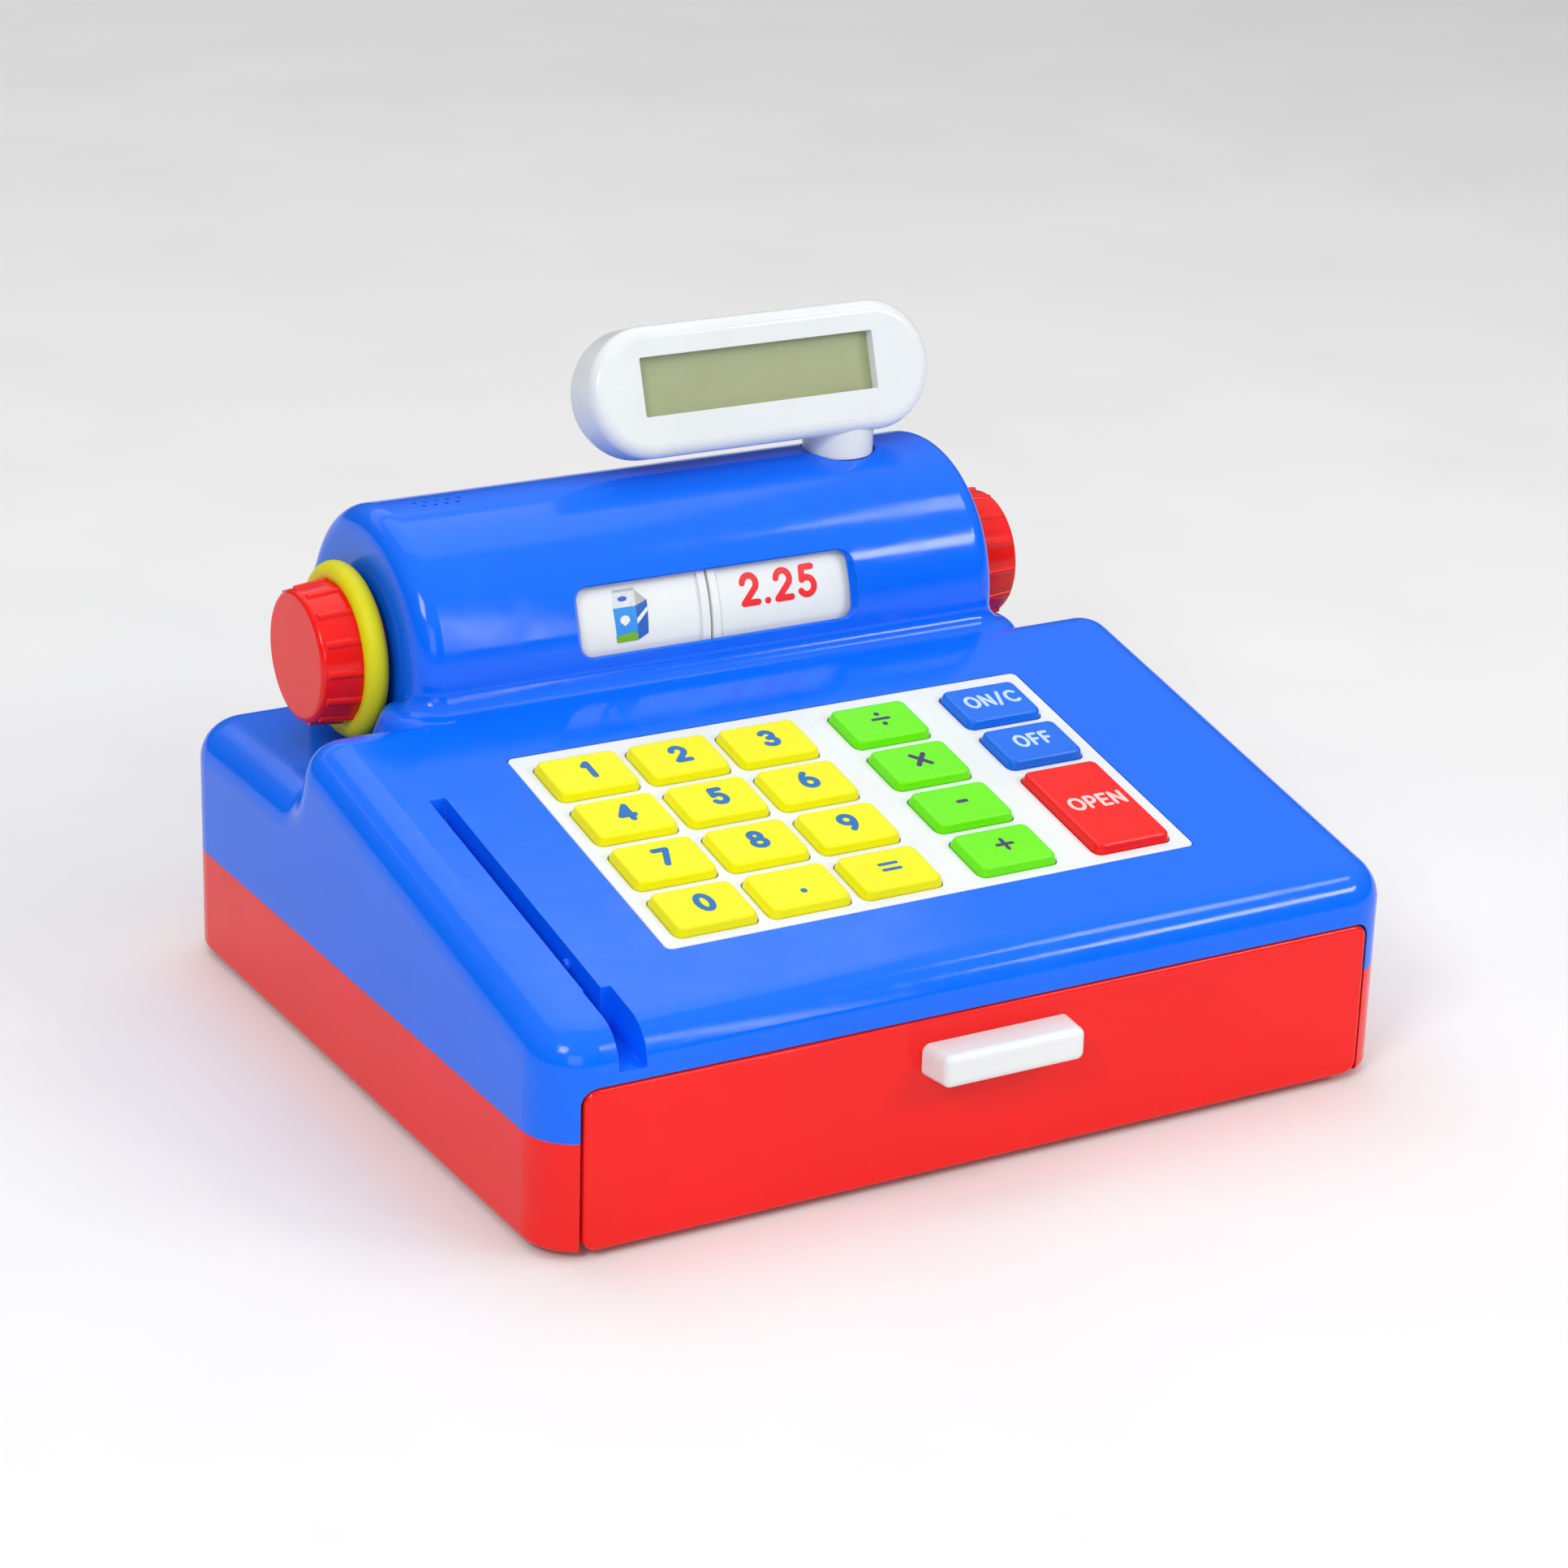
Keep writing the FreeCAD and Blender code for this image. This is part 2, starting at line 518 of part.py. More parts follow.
def tray_pockets():
    """Four coin pockets with scooped floors in front, three note bays behind."""
    inner = TRAY_HALF - TRAY_WALL
    y0, y1 = Y_FRONT + FRONT_T + TRAY_WALL, TRAY_BACK - TRAY_WALL
    pockets = []
    for count, ya, yb, floor_r in ((4, y0, DIVIDER_Y, 16.0), (3, DIVIDER_Y + TRAY_WALL, y1, 3.0)):
        width = (2 * inner - (count - 1) * TRAY_WALL) / count
        for i in range(count):
            x = -inner + i * (width + TRAY_WALL)
            pocket = slab(x, ya, x + width, yb, 4, TRAY_Z0 + TRAY_WALL, TRAY_Z1 + 1)
            if count == 4:
                scoop = box(x - 1, ya, TRAY_Z0 + TRAY_WALL, x + width + 1, yb, TRAY_Z1 + 1)
                scoop = fillet_where(scoop, floor_r, lambda p, e: p.z < TRAY_Z0 + TRAY_WALL + 0.01
                                     and abs(e.tangentAt(e.FirstParameter).x) > 0.9)
                pocket = pocket.common(scoop)
            pockets.append(pocket)
    return pockets


def drawer_tray():
    y0 = Y_FRONT + FRONT_T
    tray = slab(-TRAY_HALF, y0, TRAY_HALF, TRAY_BACK, 2, TRAY_Z0, TRAY_Z1)
    adds = [tray]
    for s in (-1, 1):
        for z in (20.8, 28.2):
            a, b = sorted((s * (TRAY_HALF - 1), s * (TRAY_HALF + 3.2)))
            adds.append(box(a, y0 + 0.1, z, b, TRAY_BACK - 2, z + 3))
    adds.append(box(-30, TRAY_BACK - 3, PAN_Z + WALL + 0.5, 30, TRAY_BACK, TRAY_Z0 + 1))
    tray = fuse(adds)
    for pocket in tray_pockets():
        tray = tray.cut(pocket)
    for x, z in DRAWER_SCREWS:
        tray = tray.cut(cyl(1.6, (x, y0 - 1, z), (0, 1, 0), 6))
    return solid(tray)


def drawer_front():
    """Hollow front moulding with rounded upper corners and bosses behind."""
    z0 = PAN_Z + 0.3

    def upright(grow, d0, d1):
        w = slab(-DRAWER_HALF - grow, z0 - grow, DRAWER_HALF + grow, DRAWER_TOP + grow, 4.5 + grow, d0, d1)
        w.Placement = FreeCAD.Placement(V(0, Y_FRONT + FRONT_T, 0), FreeCAD.Rotation(V(1, 0, 0), 90))
        return w
    front = upright(0, 0, FRONT_T)
    front = fillet_where(front, 1.4, lambda p, e: abs(p.y - Y_FRONT) < 0.01)
    front = front.cut(upright(-2.4, -1, FRONT_T - 3))
    for x, z in DRAWER_SCREWS:
        front = front.fuse(cyl(3.6, (x, Y_FRONT + FRONT_T, z), (0, -1, 0), FRONT_T - 2))
    for x, z in DRAWER_SCREWS:
        front = front.cut(cyl(1.45, (x, Y_FRONT + FRONT_T + 1, z), (0, -1, 0), FRONT_T - 1.2))
    for x, z in HANDLE_SCREWS:
        front = front.cut(cyl(1.6, (x, Y_FRONT - 1, z), (0, 1, 0), 6))
    return solid(front)


def drawer_handle():
    """Pull bar, hollowed from below for the fingers."""
    z0, z1 = HANDLE_Z - HANDLE_H / 2, HANDLE_Z + HANDLE_H / 2
    y0, x0 = Y_FRONT - HANDLE_OUT, HANDLE_HALF
    wire = Part.makePolygon([V(-x0, Y_FRONT, z0), V(x0, Y_FRONT, z0), V(x0 - 1.5, y0, z0),
                             V(1.5 - x0, y0, z0), V(-x0, Y_FRONT, z0)])
    bar = Part.Face(wire).extrude(V(0, 0, z1 - z0))
    bar = fillet_where(bar, 2.6, lambda p, e: p.y < Y_FRONT - 0.5)
    grip = slab(-x0 + 4, y0 + 3.4, x0 - 4, Y_FRONT - 2.4, 1.4, z0 - 1, z0 + 5.5)
    bar = bar.cut(grip)
    for x, z in HANDLE_SCREWS:
        bar = bar.cut(cyl(1.45, (x, Y_FRONT + 1, z), (0, -1, 0), 5))
    return solid(bar)


def drawer_screws():
    y = Y_FRONT + FRONT_T + TRAY_WALL
    return group([screw((x, y, z), (0, -1, 0), 8) for x, z in DRAWER_SCREWS])


def handle_screws():
    return group([screw((x, Y_FRONT + 3, z), (0, -1, 0), 6.5) for x, z in HANDLE_SCREWS])


def drawer_springs():
    """Push springs on the pan's posts, compressed behind the closed drawer."""
    length = Y_BACK - 5.1 - (TRAY_BACK + 0.6) - 1.0
    return group([coil(5.2, 0.5, length, 9, (s * SPRING_X, Y_BACK - 5.7, 24), (0, -1, 0)) for s in (-1, 1)])


# ---- keypad -------------------------------------------------------------------------
def key_places():
    """Name, left edge, front edge and depth of every key in the deck frame."""
    rows = (("1", "2", "3", "divide", "on_clear"), ("4", "5", "6", "multiply", "off"),
            ("7", "8", "9", "minus", "open"), ("0", "point", "equals", "plus", None))
    places = []
    for r, names in enumerate(rows):
        for x, name in zip(KEY_COLUMNS, names):
            if name == "open":
                places.append((name, x, KEY_ROW0 - 3 * KEY_PITCH, OPEN_D))
            elif name:
                places.append((name, x, KEY_ROW0 - r * KEY_PITCH, KEY_D))
    return places


def plungers(name, x, y, depth):
    cx, cy = x + KEY_W / 2, y + depth / 2
    return [(cx, cy - 14), (cx, cy + 14)] if name == "open" else [(cx, cy)]


def key(name, x, y, depth):
    """Drafted cap with a retaining flange under the panel and a plunger for the mat."""
    d = KEY_DRAFT
    lower = slab(x, y, x + KEY_W, y + depth, KEY_R, -4.6, 0)
    cap = Part.makeLoft([rounded(x, y, x + KEY_W, y + depth, KEY_R, 0),
                         rounded(x + d, y + d, x + KEY_W - d, y + depth - d, KEY_R, KEY_H)], True)
    cap = fillet_where(cap, KEY_EDGE, lambda p, e: p.z > KEY_H - 0.01)
    flange = slab(x - 1, y - 1, x + KEY_W + 1, y + depth + 1, KEY_R, -4.6, -PANEL_T - 0.1)
    shapes = [lower, cap, flange]
    shapes += [cyl(3, (px, py, -7.7), (0, 0, 1), 4) for px, py in plungers(name, x, y, depth)]
    if name == "open":
        shapes.append(cyl(2, (x + KEY_W / 2, y + depth / 2, -19.4), (0, 0, 1), 15.5))
    return on_deck(solid(fuse(shapes)))


POSTS = [(10.5, 20), (10.5, 92), (52.5, 20), (52.5, 92), (-73.2, 105.5), (73.7, 105.5)]


def open_rod():
    name, x, y, depth = [p for p in key_places() if p[0] == "open"][0]
    return x + KEY_W / 2, y + depth / 2


def key_panel():
    panel = slab(-PANEL_HALF, 0, PANEL_HALF, PANEL_LEN, 2.2, -PANEL_T, 0)
    panel = fillet_where(panel, 0.4, lambda p, e: p.z > -0.01)
    for x, y in POSTS:
        panel = panel.fuse(cyl(2.0, (x, y, BOARD_TOP), (0, 0, 1), -BOARD_TOP - 1))
    g = KEY_GAP
    for name, x, y, depth in key_places():
        panel = panel.cut(slab(x - g, y - g, x + KEY_W + g, y + depth + g, KEY_R + g, -4, 1))
    for x, y in POSTS:
        panel = panel.cut(cyl(0.9, (x, y, BOARD_TOP - 1), (0, 0, 1), 8))
    return on_deck(solid(panel))


def key_mat():
    """Silicone mat on the board with a collar round every plunger."""
    top = BOARD_TOP + MAT_T
    mat = slab(-91, 1, 91, 108.5, 2, BOARD_TOP, top)
    spots = [p for place in key_places() for p in plungers(*place)]
    mat = mat.fuse([tube(5.0, 3.7, (x, y, top - 0.2), (0, 0, 1), 2.3) for x, y in spots])
    for x, y in POSTS:
        mat = mat.cut(cyl(2.8, (x, y, -20), (0, 0, 1), 20))
    rod = open_rod()
    return on_deck(solid(mat.cut(cyl(3.2, (*rod, -20), (0, 0, 1), 20))))


def keypad_board():
    board = slab(-91, 1, 91, 108.5, 2, BOARD_TOP - BOARD_T, BOARD_TOP)
    for x, y in POSTS:
        board = board.cut(cyl(1.2, (x, y, -20), (0, 0, 1), 20))
    rod = open_rod()
    board = board.cut(cyl(3.2, (*rod, -20), (0, 0, 1), 20))
    chip = box(-30, 40, BOARD_TOP - BOARD_T - 2, -12, 52, BOARD_TOP - BOARD_T)
    return on_deck(solid(board.fuse(chip)))


def board_screws():
    return group([on_deck(screw((x, y, BOARD_TOP - BOARD_T), (0, 0, 1), 7, 0.9, 2.0, 1.3))
                  for x, y in POSTS])


# ---- drawer latch -------------------------------------------------------------------
def latch_lever():
    """Lever under the OPEN key: front arm below the key's rod, rear arm ends in the hook."""
    arm = extrude_yz([(-68, 59.8), (-68, 62.0), (LATCH_Y, 63.6), (-38, 61.0), (-38, 57.5),
                      (-40, 48.6), (-43.5, 48.6), (-43.5, 57.0), (LATCH_Y, 57.0)],
                     LATCH_X - 4, LATCH_X + 4)
    hub = cyl(3.4, (LATCH_X - 4, LATCH_Y, LATCH_Z), (1, 0, 0), 8)
    lever = arm.fuse(hub).removeSplitter()
    return solid(lever.cut(cyl(1.5 + RUN, (LATCH_X - 9, LATCH_Y, LATCH_Z), (1, 0, 0), 18)))


def latch_pin():
    return cyl(1.5, (LATCH_X - 8, LATCH_Y, LATCH_Z), (1, 0, 0), 16)


def latch_spring():
    """Torsion coil round the pin beside the lever."""
    return coil(2.4, 0.3, 1.3, 2, (LATCH_X - 5.65, LATCH_Y, LATCH_Z), (1, 0, 0))


# ---- card clicker -------------------------------------------------------------------
def card_clicker():
    """Round-nosed plunger in the channel wall, with a collar for its spring."""
    x = SLOT_X1
    pin = cyl(2, (x, CLICK_Y, CLICK_Z), (1, 0, 0), 3.9)
    nose = Part.makeSphere(2, V(x, CLICK_Y, CLICK_Z)).common(box(x - 1.3, -100, 60, x, -70, 80))
    collar = cyl(3.0, (x + 3.9, CLICK_Y, CLICK_Z), (1, 0, 0), 1.2)
    tail = cyl(1.0, (x + 5, CLICK_Y, CLICK_Z), (1, 0, 0), 3.2)
    return solid(fuse([pin, nose, collar, tail]))


def clicker_spring():
    return coil(2.3, 0.3, 5.2, 5, (SLOT_X1 + 5.45, CLICK_Y, CLICK_Z), (1, 0, 0))


def clicker_cap():
    cap = cyl(3.4, (SLOT_X1 + 11.2, CLICK_Y, CLICK_Z), (1, 0, 0), 2.6)
    return solid(cap.cut(cyl(1.6, (SLOT_X1 + 10, CLICK_Y, CLICK_Z), (1, 0, 0), 3)))


# ---- knobs and drums ----------------------------------------------------------------
def along_x(r, x0, x1):
    a, b = sorted((x0, x1))
    return cyl(r, (a, HOOD_Y, HOOD_Z), (1, 0, 0), b - a)


def drum(s, inner, rim, bore):
    """Thin drum with raised rims, a web at the inner end and a hub that runs out through the hood."""
    outer = DRUM_END
    shapes = [along_x(DRUM_R, s * inner, s * outer), along_x(RIM_R, s * inner, s * (inner + rim)),
              along_x(RIM_R, s * (outer - 1.5), s * outer)]
    body = fuse(shapes).cut(along_x(DRUM_R - 2, s * (inner + 2), s * (outer + 1)))
    body = body.fuse(along_x(HUB_R, s * inner, s * 109)).fuse(along_x(6.5, s * 108, s * 126))
    for i in range(12):
        a = i * pi / 6
        body = body.fuse(cyl(2.4, (s * 62 - 2, HOOD_Y + 9.8 * sin(a), HOOD_Z + 9.8 * cos(a)), (1, 0, 0), 4))
    return solid(body.removeSplitter().cut(along_x(bore, s * (inner - 1), s * 120)))


def knob(s):
    """Tapered knob with 14 grip ribs, open towards the hood, on a central boss."""
    def cone(x0, x1, r0, r1):
        return Part.makeCone(r0, r1, x1 - x0, V(s * x0, HOOD_Y, HOOD_Z), V(s, 0, 0))
    body = cone(KNOB_X0, KNOB_X1, KNOB_R0, KNOB_R1)
    body = fillet_where(body, 2.0, lambda p, e: abs(abs(p.x) - KNOB_X1) < 0.01)
    body = body.fuse(along_x(KNOB_R0 + 0.8, s * KNOB_X0, s * (KNOB_X0 + 2)))
    lean = (KNOB_R1 - KNOB_R0) / (KNOB_X1 - KNOB_X0)
    for i in range(14):
        a = 2 * pi * (i + 0.5) / 14
        r = KNOB_R0 - 0.6
        start = (s * (KNOB_X0 + 0.5), HOOD_Y + r * sin(a), HOOD_Z + r * cos(a))
        body = body.fuse(cyl(1.5, start, (s, lean * sin(a), lean * cos(a)), KNOB_X1 - KNOB_X0 - 2.6))
    body = body.cut(along_x(18.8, s * (KNOB_X0 - 1), s * 127.5))
    body = body.fuse(along_x(10, s * (KNOB_X0 + 0.7), s * 128)).cut(along_x(6.5, s * 100, s * 126))
    if s < 0:
        body = body.cut(knob_ring())
    return solid(body)


def knob_ring():
    return Part.makeTorus(RING_R, RING_T, V(-RING_X, HOOD_Y, HOOD_Z), V(1, 0, 0))


def drum_axle():
    return along_x(AXLE_R, -118, 119)


def detent_springs():
    """Leaf springs on the posts at the hood's back, tips under the detent wheels."""
    leaves = []
    for s in (-1, 1):
        leaf = extrude_yz([(137, 99.5), (137, 100.0), (HOOD_Y + 6, 100.0), (HOOD_Y, 100.9),
                           (HOOD_Y - 6, 100.0), (HOOD_Y - 9, 100.0), (HOOD_Y - 9, 99.6),
                           (HOOD_Y - 6, 99.6), (HOOD_Y, 100.4), (HOOD_Y + 6, 99.5)], s * 62 - 3, s * 62 + 3)
        leaves.append(leaf.cut(cyl(1.2, (s * 62, 132, 95), (0, 0, 1), 8)))
    return group(leaves)


def detent_screws():
    return group([screw((s * 62, 132, 100.0), (0, 0, -1), 6, 1.0, 2.0, 1.3) for s in (-1, 1)])


# ---- display ------------------------------------------------------------------------
LCD_X, LCD_Y, LCD_W, LCD_H = -2.0, 1.7, 88.5, 19.5
LCD_DEPTH = 4.2
DISPLAY_SCREWS = [(x, s * 11.5) for x in (-51, 52) for s in (-1, 1)]


def stadium(inset, w0, w1):
    a, b = FACE_W / 2 - inset, FACE_H / 2 - inset
    return slab(-a, -b, a, b, b - 0.01, w0, w1)


def case_outer():
    body = stadium(0, -CASE_T, 0)
    body = fillet_where(body, 4.5, lambda p, e: p.z > -0.01)
    return fillet_where(body, 9.0, lambda p, e: p.z < 0.01 - CASE_T)


def case_inner():
    body = stadium(2.3, -CASE_T + 2.3, -2.5)
    body = fillet_where(body, 2.6, lambda p, e: p.z > -2.51)
    return fillet_where(body, 7.0, lambda p, e: p.z < 2.31 - CASE_T)


def stem_bore(r, z0, z1):
    """Cylinder on the stem's upright axis."""
    return cyl(r, (STEM_X, HOOD_Y, z0), (0, 0, 1), z1 - z0)


def lcd_outline(grow, r, w0, w1):
    """Block with the outline of the display window."""
    a, b = LCD_W / 2 + grow, LCD_H / 2 + grow
    return slab(LCD_X - a, LCD_Y - b, LCD_X + a, LCD_Y + b, r, w0, w1)


def case_half(front):
    w0, w1 = (SPLIT, 1) if front else (-CASE_T - 1, SPLIT)
    shell = case_outer().cut(case_inner()).common(slab(-80, -40, 80, 40, 1, w0, w1))
    for x, y in DISPLAY_SCREWS:
        d0, d1 = (SPLIT + 0.4, -2) if front else (-CASE_T + 1, SPLIT - 0.4)
        shell = shell.fuse(cyl(3.2, (x, y, d0), (0, 0, 1), d1 - d0))
    for x, y in DISPLAY_SCREWS:
        if front:
            shell = shell.cut(cyl(1.2, (x, y, SPLIT - 1), (0, 0, 1), 7))
        else:
            shell = shell.cut(cyl(1.4, (x, y, -CASE_T - 1), (0, 0, 1), 20))
            shell = shell.cut(cyl(2.6, (x, y, -CASE_T - 1), (0, 0, 1), 6))
    if front:
        shell = shell.fuse(lcd_outline(1.4, 1.0, -LCD_DEPTH + 0.1, -2.4))
        shell = shell.cut(lcd_outline(0, 0.6, -LCD_DEPTH - 1, 1))
    return solid(on_face(shell).cut(stem_bore(7.6, 150, 185)))


def lcd_glass():
    return on_face(lcd_outline(1.25, 0.5, -LCD_DEPTH - 2, -LCD_DEPTH))


def display_board():
    back = -LCD_DEPTH - 3
    board = slab(-46, -12.6, 46, 17, 2, back - 1.6, back)
    return on_face(solid(board.fuse(box(-44, 12.9, back - 0.2, 41, 14.1, back + 1))))


def display_stem():
    """Collar on the hood, neck down through it, spigot trapped between the case halves."""
    collar = stem_bore(COLLAR_R, 158.5, 170).cut(on_face(case_outer()))
    collar = max(collar.Solids, key=lambda c: -c.BoundBox.ZMin)
    stem = fuse([collar, stem_bore(HUB_R + 1, 149.5, 159), stem_bore(7.5, 158, 174),
                 stem_bore(8.6, 171.0, 172.7)])
    stem = stem.cut(stem_bore(4.2, 149, 177))
    groove = stem_bore(12, 150.6, 151.9).cut(stem_bore(8.0, 150, 153))
    return solid(stem.cut(groove))


def stem_clip():
    """Open retaining ring in the neck's groove."""
    ring = stem_bore(12, 150.7, 151.8).cut(stem_bore(8.05, 150, 153))
    return solid(ring.cut(box(STEM_X - 3, HOOD_Y, 150, STEM_X + 3, HOOD_Y + 14, 153)))


def display_screws():
    return group([on_face(screw((x, y, -CASE_T + 5), (0, 0, 1), 13.5, 1.2, 2.4, 1.5))
                  for x, y in DISPLAY_SCREWS])


def speaker():
    """Small loudspeaker under the grille holes: basket with a magnet behind."""
    basket = cyl(13.5, (SPEAKER_X, HOOD_Y, 149.5), (0, 0, 1), 3.8)
    return solid(basket.fuse(cyl(7, (SPEAKER_X, HOOD_Y, 146), (0, 0, 1), 4)).removeSplitter())


def build():
    nodes = {
        "upper_housing": upper_housing, "base_pan": base_pan, "battery_cover": battery_cover,
        "battery_screw": battery_screw, "batteries": batteries, "battery_contacts": battery_contacts,
        "feet": feet, "case_screws": case_screws, "drawer_tray": drawer_tray,
        "drawer_front": drawer_front, "drawer_handle": drawer_handle, "drawer_screws": drawer_screws,
        "handle_screws": handle_screws, "drawer_springs": drawer_springs, "key_panel": key_panel,
        "key_mat": key_mat, "keypad_board": keypad_board, "board_screws": board_screws,
        "latch_lever": latch_lever, "latch_pin": latch_pin, "latch_spring": latch_spring,
        "card_clicker": card_clicker, "clicker_spring": clicker_spring, "clicker_cap": clicker_cap,
        "item_drum": lambda: drum(-1, 2.2, 3.0, AXLE_R + RUN),
        "price_drum": lambda: drum(1, -1.2, 2.9, AXLE_R),
        "item_knob": lambda: knob(-1), "price_knob": lambda: knob(1),
        "knob_ring": knob_ring, "drum_axle": drum_axle,
        "detent_springs": detent_springs, "detent_screws": detent_screws,
        "display_front": lambda: case_half(True), "display_back": lambda: case_half(False),
        "lcd_glass": lcd_glass, "display_board": display_board, "display_stem": display_stem,
        "stem_clip": stem_clip, "display_screws": display_screws, "speaker": speaker}
    shapes = {name: make() for name, make in nodes.items()}
    for place in key_places():
        shapes["key_" + place[0]] = key(*place)
    return shapes


if __name__ == "__main__":
    os.makedirs(PARTS, exist_ok=True)
    for node, shape in build().items():
        shape.exportStep(PARTS + "/" + node + ".step")
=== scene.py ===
"""Looks of the toy cash register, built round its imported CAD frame.

Metres, +Z up, the front faces -Y.  Flat prints are drawn in millimetres on paper axes
(u to the right, v up) and then laid on a key top or wrapped round a drum.
"""

import json
from math import atan2, ceil, cos, pi, radians, sin

import bmesh
import bpy
from mathutils import Matrix, Vector
from mathutils.geometry import delaunay_2d_cdt

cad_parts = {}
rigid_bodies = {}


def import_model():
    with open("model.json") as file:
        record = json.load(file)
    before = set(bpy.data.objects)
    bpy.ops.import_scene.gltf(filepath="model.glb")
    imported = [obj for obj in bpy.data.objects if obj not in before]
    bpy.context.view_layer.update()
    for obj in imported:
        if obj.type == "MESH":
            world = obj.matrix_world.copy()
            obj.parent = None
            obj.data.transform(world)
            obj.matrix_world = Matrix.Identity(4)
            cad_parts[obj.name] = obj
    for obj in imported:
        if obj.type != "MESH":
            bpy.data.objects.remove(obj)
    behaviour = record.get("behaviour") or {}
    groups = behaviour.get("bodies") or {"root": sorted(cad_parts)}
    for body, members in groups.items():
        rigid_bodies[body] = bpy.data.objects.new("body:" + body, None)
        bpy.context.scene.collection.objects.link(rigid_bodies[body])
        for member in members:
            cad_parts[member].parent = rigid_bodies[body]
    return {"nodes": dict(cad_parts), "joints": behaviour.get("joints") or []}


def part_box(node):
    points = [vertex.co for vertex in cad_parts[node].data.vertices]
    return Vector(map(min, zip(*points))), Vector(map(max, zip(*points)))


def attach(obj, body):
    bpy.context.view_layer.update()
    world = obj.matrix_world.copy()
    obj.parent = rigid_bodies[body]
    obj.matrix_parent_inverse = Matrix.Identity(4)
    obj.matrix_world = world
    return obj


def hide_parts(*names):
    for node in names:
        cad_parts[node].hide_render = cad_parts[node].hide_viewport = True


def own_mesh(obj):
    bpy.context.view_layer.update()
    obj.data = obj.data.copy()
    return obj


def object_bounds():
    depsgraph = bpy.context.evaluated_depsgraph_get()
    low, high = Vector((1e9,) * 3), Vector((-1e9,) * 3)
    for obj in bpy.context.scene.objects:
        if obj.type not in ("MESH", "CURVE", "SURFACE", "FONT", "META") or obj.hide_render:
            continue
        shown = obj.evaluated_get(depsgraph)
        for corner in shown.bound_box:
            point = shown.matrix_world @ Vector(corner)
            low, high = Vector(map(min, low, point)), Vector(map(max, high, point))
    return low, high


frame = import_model()
CAD_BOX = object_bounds()
NODES = frame["nodes"]
JOINTS = {j["name"]: j for j in frame["joints"]}
MM = 0.001

# ---- camera and stage -----------------------------------------------------------------
CAM_PLACE = Vector((-0.6272, -1.0623, 0.5563))
CAM_AZIMUTH, CAM_ELEVATION, CAM_ROLL = -30.52, 21.12, 1.75
CAM_LENS, CAM_SENSOR = 94.5, 36.0
FLOOR_SIZE = 24.0
HORIZON, ZENITH = 0.07, 0.78    # brightness of the room at eye level and overhead
SKY_TOP = 0.95                  # height on the unit sphere where the overhead brightness is reached
KEYPAD, HOOD = (0, 0, 0.08), (-0.08, 0.05, 0.13)
# Softboxes: place, what they face, width and height, watts.
SOFTBOXES = {
    "key_light": ((-1.2, -0.9, 1.2), KEYPAD, (0.5, 0.5), 11),
    "front_light": ((-1.0, -1.9, 0.7), KEYPAD, (1.0, 0.8), 6),
    "fill_light": ((1.08, -1.1, 0.95), KEYPAD, (0.5, 0.2), 6),
    "ridge_light": ((0.84, -0.4, 1.2), (0, -0.1, 0.08), (0.24, 0.25), 1.6),
    "top_light": ((0.1, 0.6, 1.6), KEYPAD, (1.6, 1.2), 6),
    "back_light": ((-0.5, 2.8, 1.9), (-0.5, 3.0, 0), (3.2, 1.6), 12),
    "narrow_pane": ((0.488, -1.18, 0.68), HOOD, (0.02, 0.95), 0.8),
    "wide_pane": ((0.524, -1.18, 0.68), HOOD, (0.035, 0.95), 0.8),
}

# ---- prints ---------------------------------------------------------------------------
INK = 0.1               # thickness of pad-printed ink, mm
SUNK = 0.05             # how far a print's underside lies in the surface, mm
DIGIT_H, DIGIT_STROKE = 9.4, 2.1
WORD_H, WORD_STROKE, WORD_GAP = 7.2, 1.3, 0.6
WORD_WIDTHS = {"ON/C": 20.4, "OFF": 14.0, "OPEN": 20.6}
PRICE_H, PRICE_STROKE, PRICE_GAP = 11.3, 2.2, 1.4
POINT_DROP, POINT_R = 3.6, 1.1      # the point key's dot: distance below the centre, radius, mm
DRUM_STOPS = 12         # detents, and so prints, round each drum
WINDOW_ANGLE = radians(20.0)    # from level to the print that shows, seen from the axle
RIM_STEP = 1.0          # the drum's face lies this far under its rims, mm
WRAP_STEP = 1.0         # a print is cut this often to follow its drum, mm
DOT = 0.01              # length of a stroke that is only a dot
TOP_SLACK = 0.05        # points this near a key's highest one belong to its top face, mm

# ---- finishes -------------------------------------------------------------------------
GLOSS = 0.28            # specular level of the moulded plastics
WAVE = 0.2              # strength of the slow waves in a moulded face
WORN, WEAR_EDGE = 0.35, 0.35    # how far edges pale, and the edge radius in mm below which they do
SCUFF = 0.05            # how far handling shifts the gloss either way
INK_ROUGH = 0.42
SLEEVE = 14.0           # half-length of a cell's dark sleeve, mm


